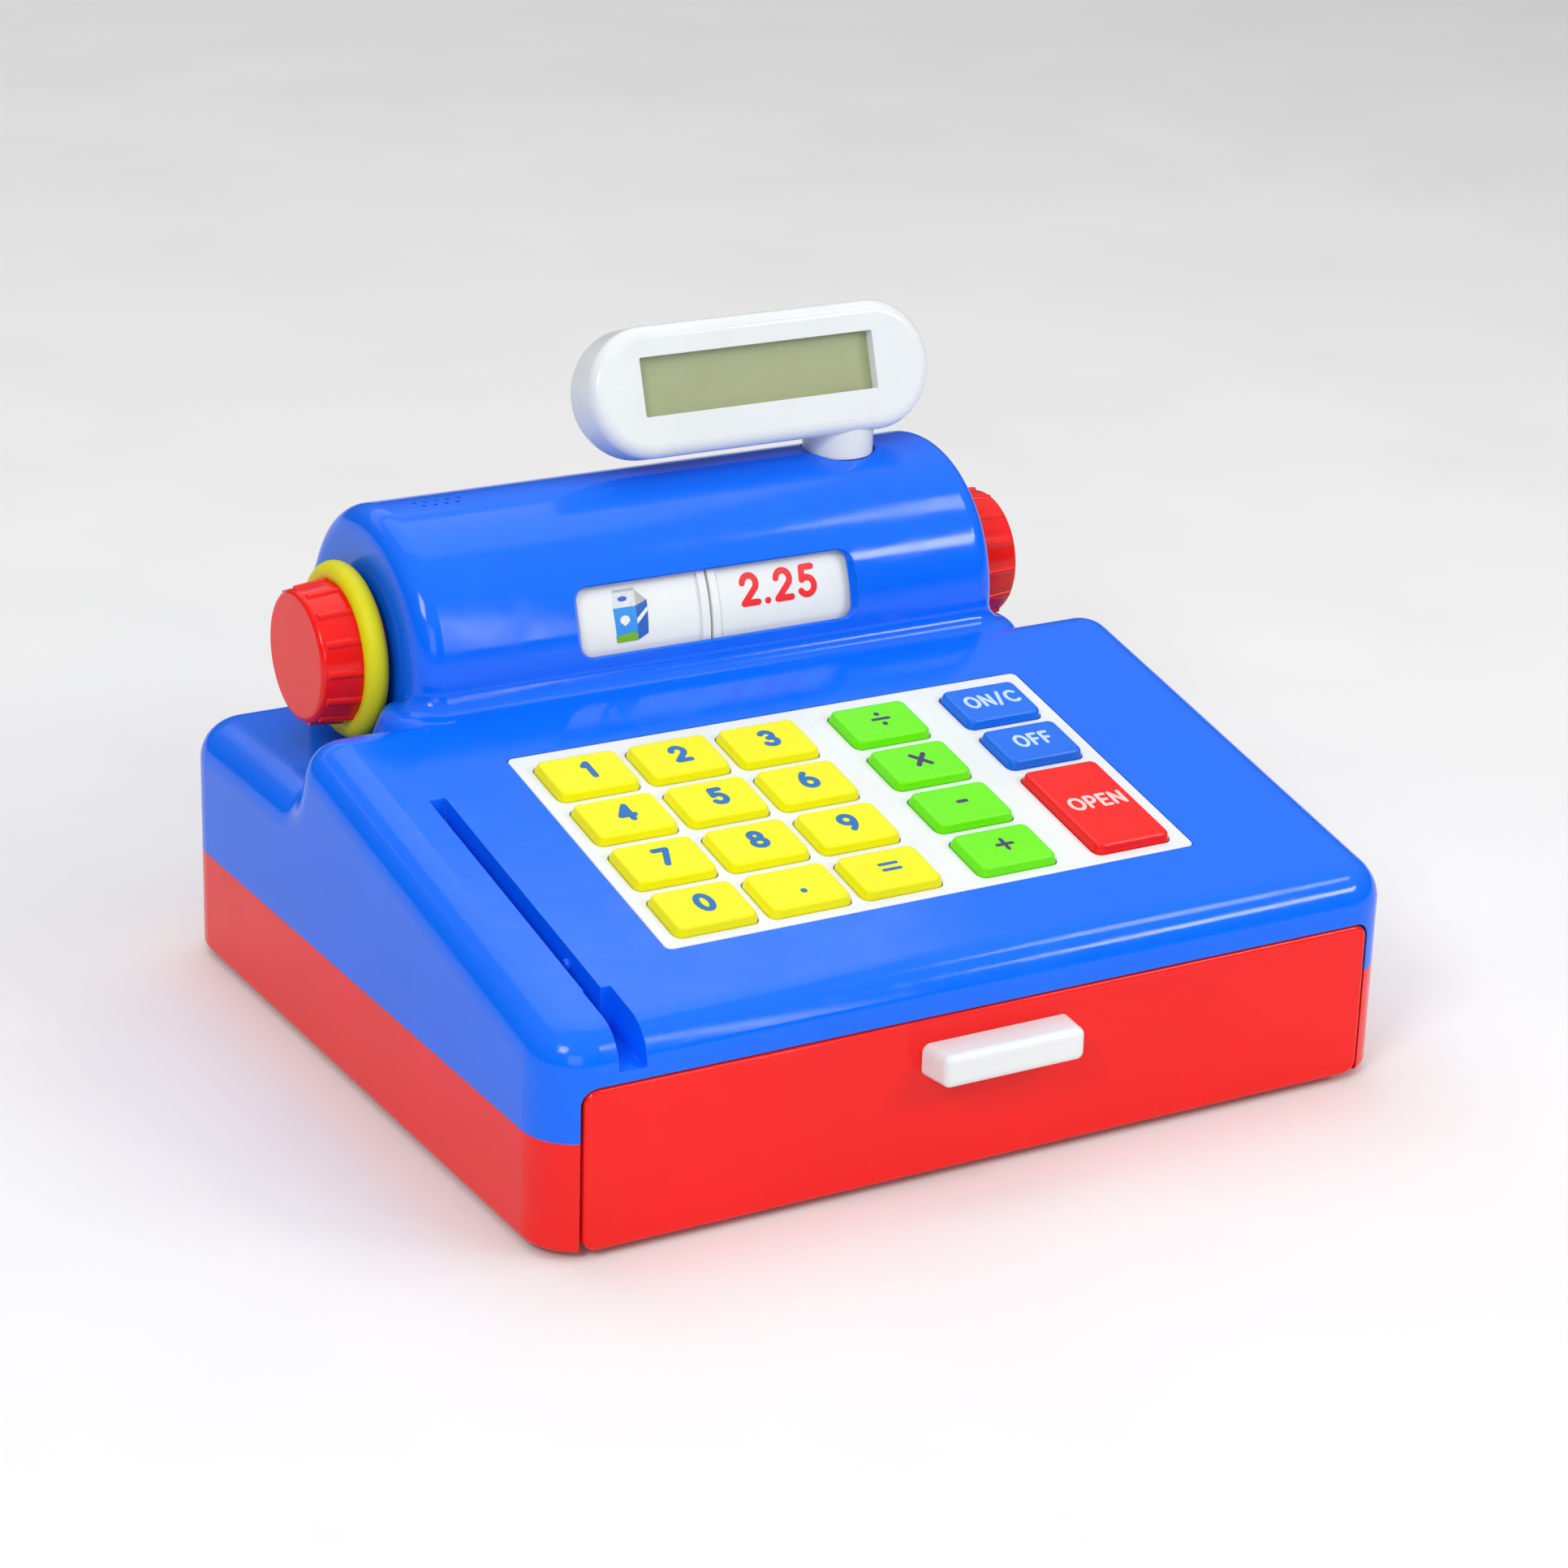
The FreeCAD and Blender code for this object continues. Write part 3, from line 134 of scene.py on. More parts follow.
# ---- node graphs ----------------------------------------------------------------------
class Graph:
    """A material's node tree with a Principled shader, and short calls to add nodes."""

    def __init__(self, name):
        self.material = bpy.data.materials.new(name)
        self.material.use_nodes = True
        self.tree = self.material.node_tree
        self.tree.nodes.clear()
        self.out = self.tree.nodes.new("ShaderNodeOutputMaterial")
        self.shader = self.tree.nodes.new("ShaderNodeBsdfPrincipled")
        self.link(self.shader.outputs[0], self.out.inputs[0])
        self.place = self.tree.nodes.new("ShaderNodeTexCoord").outputs["Object"]

    def link(self, a, b):
        self.tree.links.new(a, b)

    def node(self, kind, **settings):
        made = self.tree.nodes.new(kind)
        for key, value in settings.items():
            setattr(made, key, value)
        return made

    def stretched(self, factors):
        """Object coordinates scaled per axis, for marks that run one way."""
        made = self.node("ShaderNodeMapping")
        self.link(self.place, made.inputs["Vector"])
        made.inputs["Scale"].default_value = factors
        return made.outputs[0]

    def noise(self, size, detail=2.0, rough=0.5, place=None, distortion=0.0):
        """Noise whose features are about size millimetres across."""
        made = self.node("ShaderNodeTexNoise")
        made.inputs["Scale"].default_value = 1 / (size * MM)
        made.inputs["Detail"].default_value = detail
        made.inputs["Roughness"].default_value = rough
        made.inputs["Distortion"].default_value = distortion
        self.link(place or self.place, made.inputs["Vector"])
        return made.outputs["Fac"]

    def ranged(self, value, low, high, to_low, to_high):
        made = self.node("ShaderNodeMapRange")
        self.link(value, made.inputs[0])
        for i, number in enumerate((low, high, to_low, to_high), 1):
            made.inputs[i].default_value = number
        return made.outputs[0]

    def maths(self, kind, a, b=0.0):
        made = self.node("ShaderNodeMath", operation=kind)
        for socket, value in zip(made.inputs, (a, b)):
            if isinstance(value, (int, float)):
                socket.default_value = value
            else:
                self.link(value, socket)
        return made.outputs[0]

    def mixed(self, factor, a, b, blend="MIX"):
        """Colour a where factor is 0, b where it is 1."""
        made = self.node("ShaderNodeMix", data_type="RGBA", blend_type=blend)
        self.link(factor, made.inputs["Factor"])
        for socket, value in ((made.inputs[6], a), (made.inputs[7], b)):
            if isinstance(value, (tuple, list)):
                socket.default_value = (*value, 1)
            else:
                self.link(value, socket)
        return made.outputs[2]

    def bump(self, height, strength, distance, under=None):
        made = self.node("ShaderNodeBump")
        made.inputs["Strength"].default_value = strength
        made.inputs["Distance"].default_value = distance * MM
        self.link(height, made.inputs["Height"])
        if under is not None:
            self.link(under, made.inputs["Normal"])
        return made.outputs[0]

    def edges(self, radius):
        """0 on flat ground, rising towards 1 on edges sharper than radius millimetres."""
        bevel = self.node("ShaderNodeBevel", samples=4)
        bevel.inputs["Radius"].default_value = radius * MM
        dot = self.node("ShaderNodeVectorMath", operation="DOT_PRODUCT")
        self.link(bevel.outputs[0], dot.inputs[0])
        self.link(self.node("ShaderNodeNewGeometry").outputs["Normal"], dot.inputs[1])
        return bevel.outputs[0], self.ranged(dot.outputs["Value"], 0.995, 0.75, 0.0, 1.0)

    def finish(self, colour, roughness, normal, **fixed):
        for name, value in (("Base Color", colour), ("Roughness", roughness), ("Normal", normal)):
            self.link(value, self.shader.inputs[name])
        for name, value in fixed.items():
            self.shader.inputs[name.replace("_", " ")].default_value = value
        return self.material


def shade(colour, factor):
    return tuple(min(1.0, c * factor) for c in colour)


# ---- materials ------------------------------------------------------------------------
def plastic(name, colour, rough, grain=0.2):
    """Moulded plastic: faint flow mottle, handling scuffs, mould grain and paler worn edges."""
    g = Graph(name)
    mottle = g.ranged(g.noise(38, 3), 0.3, 0.7, 0, 1)
    base = g.mixed(mottle, shade(colour, 0.955), shade(colour, 1.03))
    pigment = g.ranged(g.noise(0.7, 2), 0.35, 0.65, 0, 0.25)
    base = g.mixed(pigment, base, shade(colour, 0.93))
    rounded, edge = g.edges(WEAR_EDGE)
    wear = g.maths("MULTIPLY", edge, g.ranged(g.noise(6, 4, 0.65), 0.4, 0.65, 0.15 * WORN, WORN))
    pale = tuple(c + (0.9 - c) * 0.35 for c in colour)
    base = g.mixed(wear, base, pale)
    smudge = g.ranged(g.noise(17, 4, 0.6, distortion=0.6), 0.35, 0.7, rough - SCUFF, rough + SCUFF)
    hairs = g.noise(2.2, 3, 0.6, g.stretched((1, 0.06, 1)))
    hairs = g.maths("MAXIMUM", hairs, g.noise(2.6, 3, 0.6, g.stretched((0.07, 1, 1))))
    scratch = g.ranged(hairs, 0.66, 0.74, 0, SCUFF * 1.6)
    roughness = g.maths("ADD", g.maths("ADD", smudge, scratch), g.maths("MULTIPLY", wear, 0.15))
    normal = g.bump(g.noise(9, 1), WAVE, 0.12, rounded)
    normal = g.bump(g.noise(0.55, 2), grain, 0.012, normal)
    return g.finish(base, roughness, normal, Specular_IOR_Level=GLOSS, IOR=1.5)


def textured_plastic(name, colour, rough, size, depth):
    """Plastic from a spark-eroded mould: an even fine grain that kills the gloss, with painted shade
    darkening its pits.
    """
    g = Graph(name)
    tone = g.mixed(g.ranged(g.noise(24, 3), 0.3, 0.7, 0, 1), shade(colour, 0.95), shade(colour, 1.04))
    pits = g.noise(size, 3, 0.7)
    # painted shade: the pits, low in the bump below, are darkened towards 0.8 of the colour
    tone = g.mixed(g.ranged(pits, 0.35, 0.6, 0.35, 0.0), tone, shade(colour, 0.8))
    rounded, edge = g.edges(0.4)
    polish = g.maths("MULTIPLY", edge, g.ranged(g.noise(5, 3), 0.4, 0.6, 0.05, 0.3))
    satin = g.ranged(g.noise(12, 3), 0.3, 0.7, rough - 0.06, rough + 0.06)
    roughness = g.maths("SUBTRACT", satin, polish)
    return g.finish(tone, roughness, g.bump(pits, depth, 0.05, rounded), Specular_IOR_Level=0.35)


def metal(name, colour, rough):
    """Plated or bright steel with fine drawn lines and dull spots."""
    g = Graph(name)
    spots = g.ranged(g.noise(1.6, 4, 0.6), 0.45, 0.7, 0, 0.6)
    tone = g.mixed(spots, colour, shade(colour, 0.72))
    drawn = g.noise(0.35, 2, 0.5, g.stretched((1, 1, 0.06)))
    roughness = g.maths("ADD", g.ranged(drawn, 0.3, 0.7, rough - 0.07, rough + 0.07),
                        g.maths("MULTIPLY", spots, 0.2))
    rounded, _ = g.edges(0.15)
    return g.finish(tone, roughness, g.bump(drawn, 0.25, 0.02, rounded), Metallic=1.0)


def circuit_board(name):
    """Green solder mask over a grid of tracks, with a few bare pads."""
    g = Graph(name)
    cells = g.node("ShaderNodeTexVoronoi", distance="MANHATTAN", feature="F1")
    cells.inputs["Scale"].default_value = 1 / (5.5 * MM)
    cells.inputs["Randomness"].default_value = 0.55
    g.link(g.place, cells.inputs["Vector"])
    bands = g.maths("FRACT", g.maths("MULTIPLY", cells.outputs["Distance"], 5.0))
    tracks = g.ranged(bands, 0.42, 0.5, 0, 1)
    mask = g.mixed(tracks, (0.006, 0.105, 0.03), (0.012, 0.19, 0.05))
    pads = g.ranged(cells.outputs["Distance"], 0.10, 0.13, 1, 0)
    tone = g.mixed(pads, mask, (0.62, 0.58, 0.44))
    roughness = g.ranged(g.noise(3, 3), 0.3, 0.7, 0.22, 0.4)
    return g.finish(tone, roughness, g.bump(tracks, 0.35, 0.035), Specular_IOR_Level=0.5)


def lcd_glass(name):
    """Liquid crystal panel: grey-green polariser, faint cell mottle, glossy front glass."""
    g = Graph(name)
    green, dull = (0.36, 0.395, 0.212), (0.335, 0.37, 0.2)
    tone = g.mixed(g.ranged(g.noise(30, 2), 0.3, 0.7, 0, 1), dull, green)
    film = g.ranged(g.noise(0.5, 2), 0.3, 0.7, 0, 0.3)
    tone = g.mixed(film, tone, shade(green, 0.9))
    roughness = g.ranged(g.noise(14, 4, 0.6), 0.35, 0.7, 0.23, 0.28)
    normal = g.bump(g.noise(0.4, 1), 0.12, 0.01)
    return g.finish(tone, roughness, normal, Coat_Weight=0.35, Coat_Roughness=0.06)


def battery_wrap(name):
    """Dark shrink sleeve with a copper-coloured end band, cut by position along the cell."""
    g = Graph(name)
    split = g.node("ShaderNodeSeparateXYZ")
    g.link(g.place, split.inputs[0])
    band = g.ranged(g.maths("ABSOLUTE", split.outputs["X"]), (SLEEVE - 0.1) * MM, (SLEEVE + 0.1) * MM, 0, 1)
    tone = g.mixed(band, (0.03, 0.033, 0.04), (0.62, 0.3, 0.08))
    tone = g.mixed(g.ranged(g.noise(4, 3), 0.45, 0.7, 0, 0.3), tone, (0.12, 0.11, 0.1))
    roughness = g.ranged(g.noise(3, 3), 0.3, 0.7, 0.24, 0.38)
    return g.finish(tone, roughness, g.bump(g.noise(2.5, 2), 0.2, 0.03), Metallic=0.35)


def ink(name, colour):
    """Pad-printed ink: uneven cover and a soft satin face."""
    g = Graph(name)
    cover = g.ranged(g.noise(0.9, 3, 0.6), 0.35, 0.7, 0, 1)
    tone = g.mixed(cover, shade(colour, 0.88), shade(colour, 1.08))
    roughness = g.ranged(g.noise(0.6, 2), 0.3, 0.7, INK_ROUGH - 0.06, INK_ROUGH + 0.08)
    return g.finish(tone, roughness, g.bump(g.noise(0.3, 2), 0.2, 0.01), Specular_IOR_Level=0.4)


def floor_paper(name):
    """Pale seamless paper with a barely seen fibre."""
    g = Graph(name)
    tone = g.mixed(g.ranged(g.noise(160, 3), 0.3, 0.7, 0, 1), (0.8, 0.8, 0.805), (0.84, 0.84, 0.84))
    roughness = g.ranged(g.noise(1.2, 3), 0.3, 0.7, 0.6, 0.75)
    return g.finish(tone, roughness, g.bump(g.noise(0.8, 3), 0.15, 0.05), Specular_IOR_Level=0.2)


BLUE, RED = (0.0015, 0.142, 0.9), (0.86, 0.01, 0.008)
YELLOW, GREEN = (0.86, 0.82, 0.001), (0.15, 0.8, 0.002)
WHITE = (0.76, 0.79, 0.8)


def slot_materials():
    """The finish of every material slot of the record."""
    return {
        "blue_plastic": plastic("glossy_blue", BLUE, 0.13),
        "red_plastic": plastic("glossy_red", RED, 0.16),
        "white_plastic": plastic("glossy_white", WHITE, 0.2),
        "drum_white": plastic("satin_white", (0.84, 0.86, 0.83), 0.36),
        "yellow_ring": textured_plastic("ring_yellow", (0.74, 0.7, 0.002), 0.5, 0.55, 0.4),
        "key_yellow": plastic("key_yellow", YELLOW, 0.27, 0.12),
        "key_green": plastic("key_green", GREEN, 0.25, 0.12),
        "key_blue": plastic("key_blue", (0.006, 0.15, 0.78), 0.24, 0.12),
        "zinc_steel": metal("zinc_steel", (0.66, 0.65, 0.6), 0.33),
        "spring_steel": metal("spring_steel", (0.56, 0.56, 0.57), 0.24),
        "rubber_grey": textured_plastic("rubber_grey", (0.055, 0.056, 0.06), 0.72, 0.4, 0.5),
        "silicone": textured_plastic("silicone", (0.32, 0.33, 0.34), 0.55, 0.8, 0.2),
        "circuit_board": circuit_board("circuit_board"),
        "lcd": lcd_glass("lcd"),
        "battery_wrap": battery_wrap("battery_wrap"),
        "speaker_black": textured_plastic("speaker_black", (0.02, 0.02, 0.022), 0.6, 0.3, 0.6),
        "nylon_natural": textured_plastic("nylon_natural", (0.66, 0.64, 0.56), 0.45, 1.2, 0.15),
    }


def dress_frame():
    """Gives every CAD node the finish of its slot."""
    finishes = slot_materials()
    for node in NODES.values():
        for held in node.material_slots:
            slot = held.material.name.split(".")[0]
            held.material = finishes[slot]


# ---- flat prints ----------------------------------------------------------------------
def arc(cx, cy, rx, ry, start, end):
    """Points of an elliptical arc, angles in degrees from the right, anticlockwise."""
    steps = max(4, ceil(abs(end - start) / 12))
    angles = [radians(start + (end - start) * i / steps) for i in range(steps + 1)]
    return [(cx + rx * cos(a), cy + ry * sin(a)) for a in angles]


def ring(cx, cy, rx, ry):
    return [arc(cx, cy, rx, ry, 90, 270), arc(cx, cy, rx, ry, -90, 90)]


def bars(*pairs):
    return [[a, b] for a, b in pairs]


# Strokes of each sign on its centre line: height 1, widths as drawn.
SIGNS = {
    "0": ring(0.3, 0.5, 0.3, 0.5),
    "1": bars(((0.0, 0.8), (0.2, 1.0)), ((0.2, 1.0), (0.2, 0.0))),
    "2": [arc(0.29, 0.7, 0.28, 0.3, 170, -32)]
    + bars(((0.53, 0.54), (0.02, 0.0)), ((0.02, 0.0), (0.6, 0.0))),
    "3": [arc(0.26, 0.75, 0.26, 0.25, 150, -90), arc(0.26, 0.26, 0.3, 0.26, 90, -150)],
    "4": bars(((0.44, 1.0), (0.0, 0.3)), ((0.0, 0.3), (0.62, 0.3)), ((0.44, 1.0), (0.44, 0.0))),
    "5": bars(((0.12, 1.0), (0.52, 1.0)), ((0.12, 1.0), (0.08, 0.56)))
    + [arc(0.26, 0.31, 0.3, 0.31, 128, -148)],
    "6": ring(0.3, 0.3, 0.3, 0.3) + [arc(0.78, 0.3, 0.78, 0.9, 180, 128)],
    "7": bars(((0.0, 1.0), (0.56, 1.0)), ((0.56, 1.0), (0.18, 0.0))),
    "8": ring(0.3, 0.76, 0.24, 0.24) + ring(0.3, 0.26, 0.3, 0.26),
    "9": ring(0.3, 0.7, 0.3, 0.3) + [arc(-0.18, 0.7, 0.78, 0.9, 0, -52)],
    ".": bars(((0.0, 0.0), (DOT, 0.0))),
    "/": bars(((0.0, -0.1), (0.4, 1.1))),
    "O": ring(0.42, 0.5, 0.42, 0.5),
    "N": bars(((0.0, 0.0), (0.0, 1.0)), ((0.0, 1.0), (0.66, 0.0)), ((0.66, 0.0), (0.66, 1.0))),
    "C": [arc(0.46, 0.5, 0.46, 0.5, 48, 312)],
    "F": bars(((0.0, 0.0), (0.0, 1.0)), ((0.0, 1.0), (0.5, 1.0)), ((0.0, 0.5), (0.42, 0.5))),
    "P": bars(((0.0, 0.0), (0.0, 1.0)), ((0.0, 1.0), (0.24, 1.0)), ((0.0, 0.44), (0.24, 0.44)))
    + [arc(0.24, 0.72, 0.28, 0.28, 90, -90)],
    "E": bars(((0.0, 0.0), (0.0, 1.0)), ((0.0, 1.0), (0.5, 1.0)), ((0.0, 0.5), (0.42, 0.5)),
              ((0.0, 0.0), (0.5, 0.0))),
}


def outline(points, half):
    """Anticlockwise outline of a stroke with round ends, half wide each side."""
    p = [Vector(q) for q in points]
    aside = []
    for i in range(len(p)):
        run = (p[min(i + 1, len(p) - 1)] - p[max(i - 1, 0)]).normalized()
        aside.append(Vector((-run.y, run.x)) * half)

    def cap(centre, first):
        a = atan2(first.y, first.x)
        turns = [a - pi * k / 8 for k in range(1, 8)]
        return [centre + Vector((cos(t), sin(t))) * half for t in turns]

    there = [q + n for q, n in zip(p, aside)] + cap(p[-1], aside[-1])
    back = [q - n for q, n in zip(p, aside)][::-1] + cap(p[0], -aside[0])
    return (there + back)[::-1]


def word_strokes(text, height, stroke, gap, width=None):
    """Strokes of a word centred on the origin, of that overall height and, if given, width."""
    tall = height - stroke
    letters = sum(max(px for s in SIGNS[sign] for px, _ in s) for sign in text) * tall
    squeeze = (width - len(text) * stroke - (len(text) - 1) * gap) / letters if width else 1.0
    strokes, x = [], 0.0
    for sign in text:
        drawn = [[(px * tall * squeeze, py * tall) for px, py in s] for s in SIGNS[sign]]
        right = max(px for s in drawn for px, _ in s)
        strokes += [[(px + x, py) for px, py in s] for s in drawn]
        x += right + stroke + gap
    middle = (x - stroke - gap) / 2
    return [[(px - middle, py - tall / 2) for px, py in s] for s in strokes]


def flat_print(polygons):
    """Vertices and triangles of the union of anticlockwise polygons."""
    points, faces = [], []
    for polygon in polygons:
        faces.append(list(range(len(points), len(points) + len(polygon))))
        points += [Vector(p) for p in polygon]
    verts, _, tris, _, _, sources = delaunay_2d_cdt(points, [], faces, 1, 1e-5)
    return verts, [t for t, source in zip(tris, sources) if source]


def raised(polygons, lay, lift=INK, step=None):
    """Closed bmesh of a print: its flat shape laid by lay(u, v, height), walls and underside."""
    verts, tris = flat_print(polygons)
    bm = bmesh.new()
    flat = [bm.verts.new((v.x, v.y, 0)) for v in verts]
    for t in tris:
        bm.faces.new([flat[i] for i in t])
    bmesh.ops.delete(bm, geom=[v for v in bm.verts if not v.link_faces], context="VERTS")
    if step:
        low, high = min(v.co.y for v in bm.verts), max(v.co.y for v in bm.verts)
        for i in range(1, ceil((high - low) / step)):
            bmesh.ops.bisect_plane(bm, geom=bm.verts[:] + bm.edges[:] + bm.faces[:], dist=1e-6,
                                   plane_co=(0, low + i * step, 0), plane_no=(0, 1, 0))
    tops = bm.faces[:]
    rims = [e for e in bm.edges if len(e.link_faces) == 1]
    under = {v: bm.verts.new(v.co) for v in bm.verts[:]}
    for face in tops:
        bm.faces.new([under[v] for v in reversed(face.verts)])
    for edge in rims:
        a = next(loop.vert for loop in edge.link_loops[0].face.loops if loop.edge is edge)
        b = edge.other_vert(a)
        bm.faces.new([b, a, under[a], under[b]])
    for top, low in under.items():
        low.co = lay(low.co.x, low.co.y, -SUNK)
        top.co = lay(top.co.x, top.co.y, lift)
    bmesh.ops.recalc_face_normals(bm, faces=bm.faces[:])
    return bm


def as_object(name, layers):
    """One mesh object from (bmesh, material) layers."""
    mesh = bpy.data.meshes.new(name)
    whole = bmesh.new()
    for index, (bm, material) in enumerate(layers):
        for face in bm.faces:
            face.material_index = index
        part = bpy.data.meshes.new("layer")
        bm.to_mesh(part)
        whole.from_mesh(part)
        bpy.data.meshes.remove(part)
        bm.free()
        mesh.materials.append(material)
    whole.to_mesh(mesh)
    whole.free()
    made = bpy.data.objects.new(name, mesh)
    bpy.context.scene.collection.objects.link(made)
    return made


# ---- key legends ----------------------------------------------------------------------
LEGENDS = {
    "point": (".", "digit"), "equals": ("=", "sum"), "divide": ("/:", "sum"),
    "multiply": ("x", "sum"), "minus": ("-", "sum"), "plus": ("+", "sum"),
    "on_clear": ("ON/C", "word"), "off": ("OFF", "word"), "open": ("OPEN", "word"),
}
LEGENDS.update({str(n): (str(n), "digit") for n in range(10)})
PRINT_SHIFT = (0.5, 0.6)    # the prints sit a little right of and above the key centres, mm


def sum_sign(sign):
    """Outlines of an operator, in millimetres round the key's centre."""
    def bar(x0, y0, x1, y1, thick):
        return outline([(x0, y0), (x1, y1)], thick / 2)
    return {
        "=": [bar(-2.9, 1.5, 2.9, 1.5, 1.3), bar(-2.9, -1.5, 2.9, -1.5, 1.3)],
        "/:": [bar(-2.9, 0, 2.9, 0, 1.25), bar(0, 2.9, DOT, 2.9, 1.9), bar(0, -2.9, DOT, -2.9, 1.9)],
        "x": [bar(-2.3, -2.8, 2.3, 2.8, 1.7), bar(-2.3, 2.8, 2.3, -2.8, 1.7)],
        "-": [bar(-1.4, 0, 1.4, 0, 1.5)],
        "+": [bar(-2.7, 0, 2.7, 0, 1.3), bar(0, -2.7, 0, 2.7, 1.3)],
    }[sign]


def legend_outlines(text, kind):
    if kind == "sum":
        return sum_sign(text)
    if kind == "word":
        strokes = word_strokes(text, WORD_H, WORD_STROKE, WORD_GAP, WORD_WIDTHS[text])
        half = WORD_STROKE / 2
    elif text == ".":
        strokes, half = [[(0, -POINT_DROP), (DOT, -POINT_DROP)]], POINT_R
    else:
        strokes, half = word_strokes(text, DIGIT_H, DIGIT_STROKE, 0), DIGIT_STROKE / 2
    return [outline(s, half) for s in strokes]


def key_frame(name):
    """Matrix from paper millimetres to the top face of a key, taken from its mesh."""
    out = -Vector(JOINTS["press_" + name]["axis"]).normalized()
    right = Vector((1, 0, 0))
    up = out.cross(right)
    points = [v.co for v in NODES["key_" + name].data.vertices]
    top = max(p.dot(out) for p in points)
    face = [p for p in points if p.dot(out) > top - TOP_SLACK * MM]
    across = [p.x for p in face]
    along = [p.dot(up) for p in face]
    centre = right * (min(across) + max(across)) / 2 + up * (min(along) + max(along)) / 2 + out * top
    turned = Matrix((right, up, out)).transposed().to_4x4()
    return Matrix.Translation(centre) @ turned @ Matrix.Scale(MM, 4)


def key_legends():
    """Pad-printed signs on the key tops, one piece per key."""
    inks = {
        "digit": ink("ink_blue", (0.008, 0.15, 0.46)),
        "sum": ink("ink_violet", (0.045, 0.035, 0.14)),
        "word": ink("ink_pale_blue", (0.52, 0.68, 0.86)),
        "open": ink("ink_pale_pink", (0.93, 0.6, 0.6)),
    }
    for name, (text, kind) in LEGENDS.items():
        place = key_frame(name)
        shapes = legend_outlines(text, kind)
        colour = "open" if name == "open" else "digit" if name == "equals" else kind

        def lay(u, v, h):
            return place @ Vector((u + PRINT_SHIFT[0], v + PRINT_SHIFT[1], h))

        made = as_object("legend_" + name, [(raised(shapes, lay), inks[colour])])
        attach(made, "key_" + name)


# ---- drum prints ----------------------------------------------------------------------
def drum_layer(node, centre_x, angle):
    """Function that wraps paper millimetres round a drum's face, centred on x and an angle."""
    low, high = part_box(node)
    axle = Vector((0, (low.y + high.y) / 2, (low.z + high.z) / 2))
    radius = (high.z - low.z) / 2 / MM - RIM_STEP

    def lay(u, v, h):
        a, r = angle + v / radius, (radius + h) * MM
        return Vector((centre_x + u * MM, axle.y - r * cos(a), axle.z + r * sin(a)))
    return lay


PRICES = ("2.25", "0.50", "1.75", "3.00", "0.80", "1.20",
          "0.60", "0.90", "2.50", "4.00", "0.70", "1.50")
PRICE_X, ITEM_X = 0.0246, -0.0305   # middles of the prints along the axle


def price_prints():
    """Red prices round the right drum."""
    red = ink("ink_red", (0.92, 0.012, 0.02))
    layers = []
    for stop, price in enumerate(PRICES):
        lay = drum_layer("price_drum", PRICE_X, WINDOW_ANGLE + 2 * pi * stop / DRUM_STOPS)
        strokes = word_strokes(price, PRICE_H, PRICE_STROKE, PRICE_GAP)
        shapes = [outline(s, PRICE_STROKE / 2) for s in strokes]
        layers.append((raised(shapes, lay, step=WRAP_STEP), red))
    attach(as_object("price_prints", layers), "price_selector")


def oval(cx, cy, rx, ry, start=0, end=360):
    """Closed outline of an ellipse, or of a slice of it cut by its chord."""
    points = arc(cx, cy, rx, ry, start, end)
    return points[:-1] if end - start == 360 else points


PRINT_COLOURS = {
    "paper": (0.86, 0.87, 0.84), "shade": (0.5, 0.51, 0.48), "fold": (0.74, 0.77, 0.79),
    "sky": (0.035, 0.3, 0.82), "sea": (0.02, 0.12, 0.52), "leaf": (0.19, 0.46, 0.02),
    "red": (0.74, 0.03, 0.02), "orange": (0.88, 0.25, 0.01), "yellow": (0.9, 0.66, 0.03),
    "crust": (0.5, 0.24, 0.06), "crumb": (0.88, 0.66, 0.36), "brown": (0.16, 0.06, 0.02),
    "pink": (0.88, 0.36, 0.4),
}
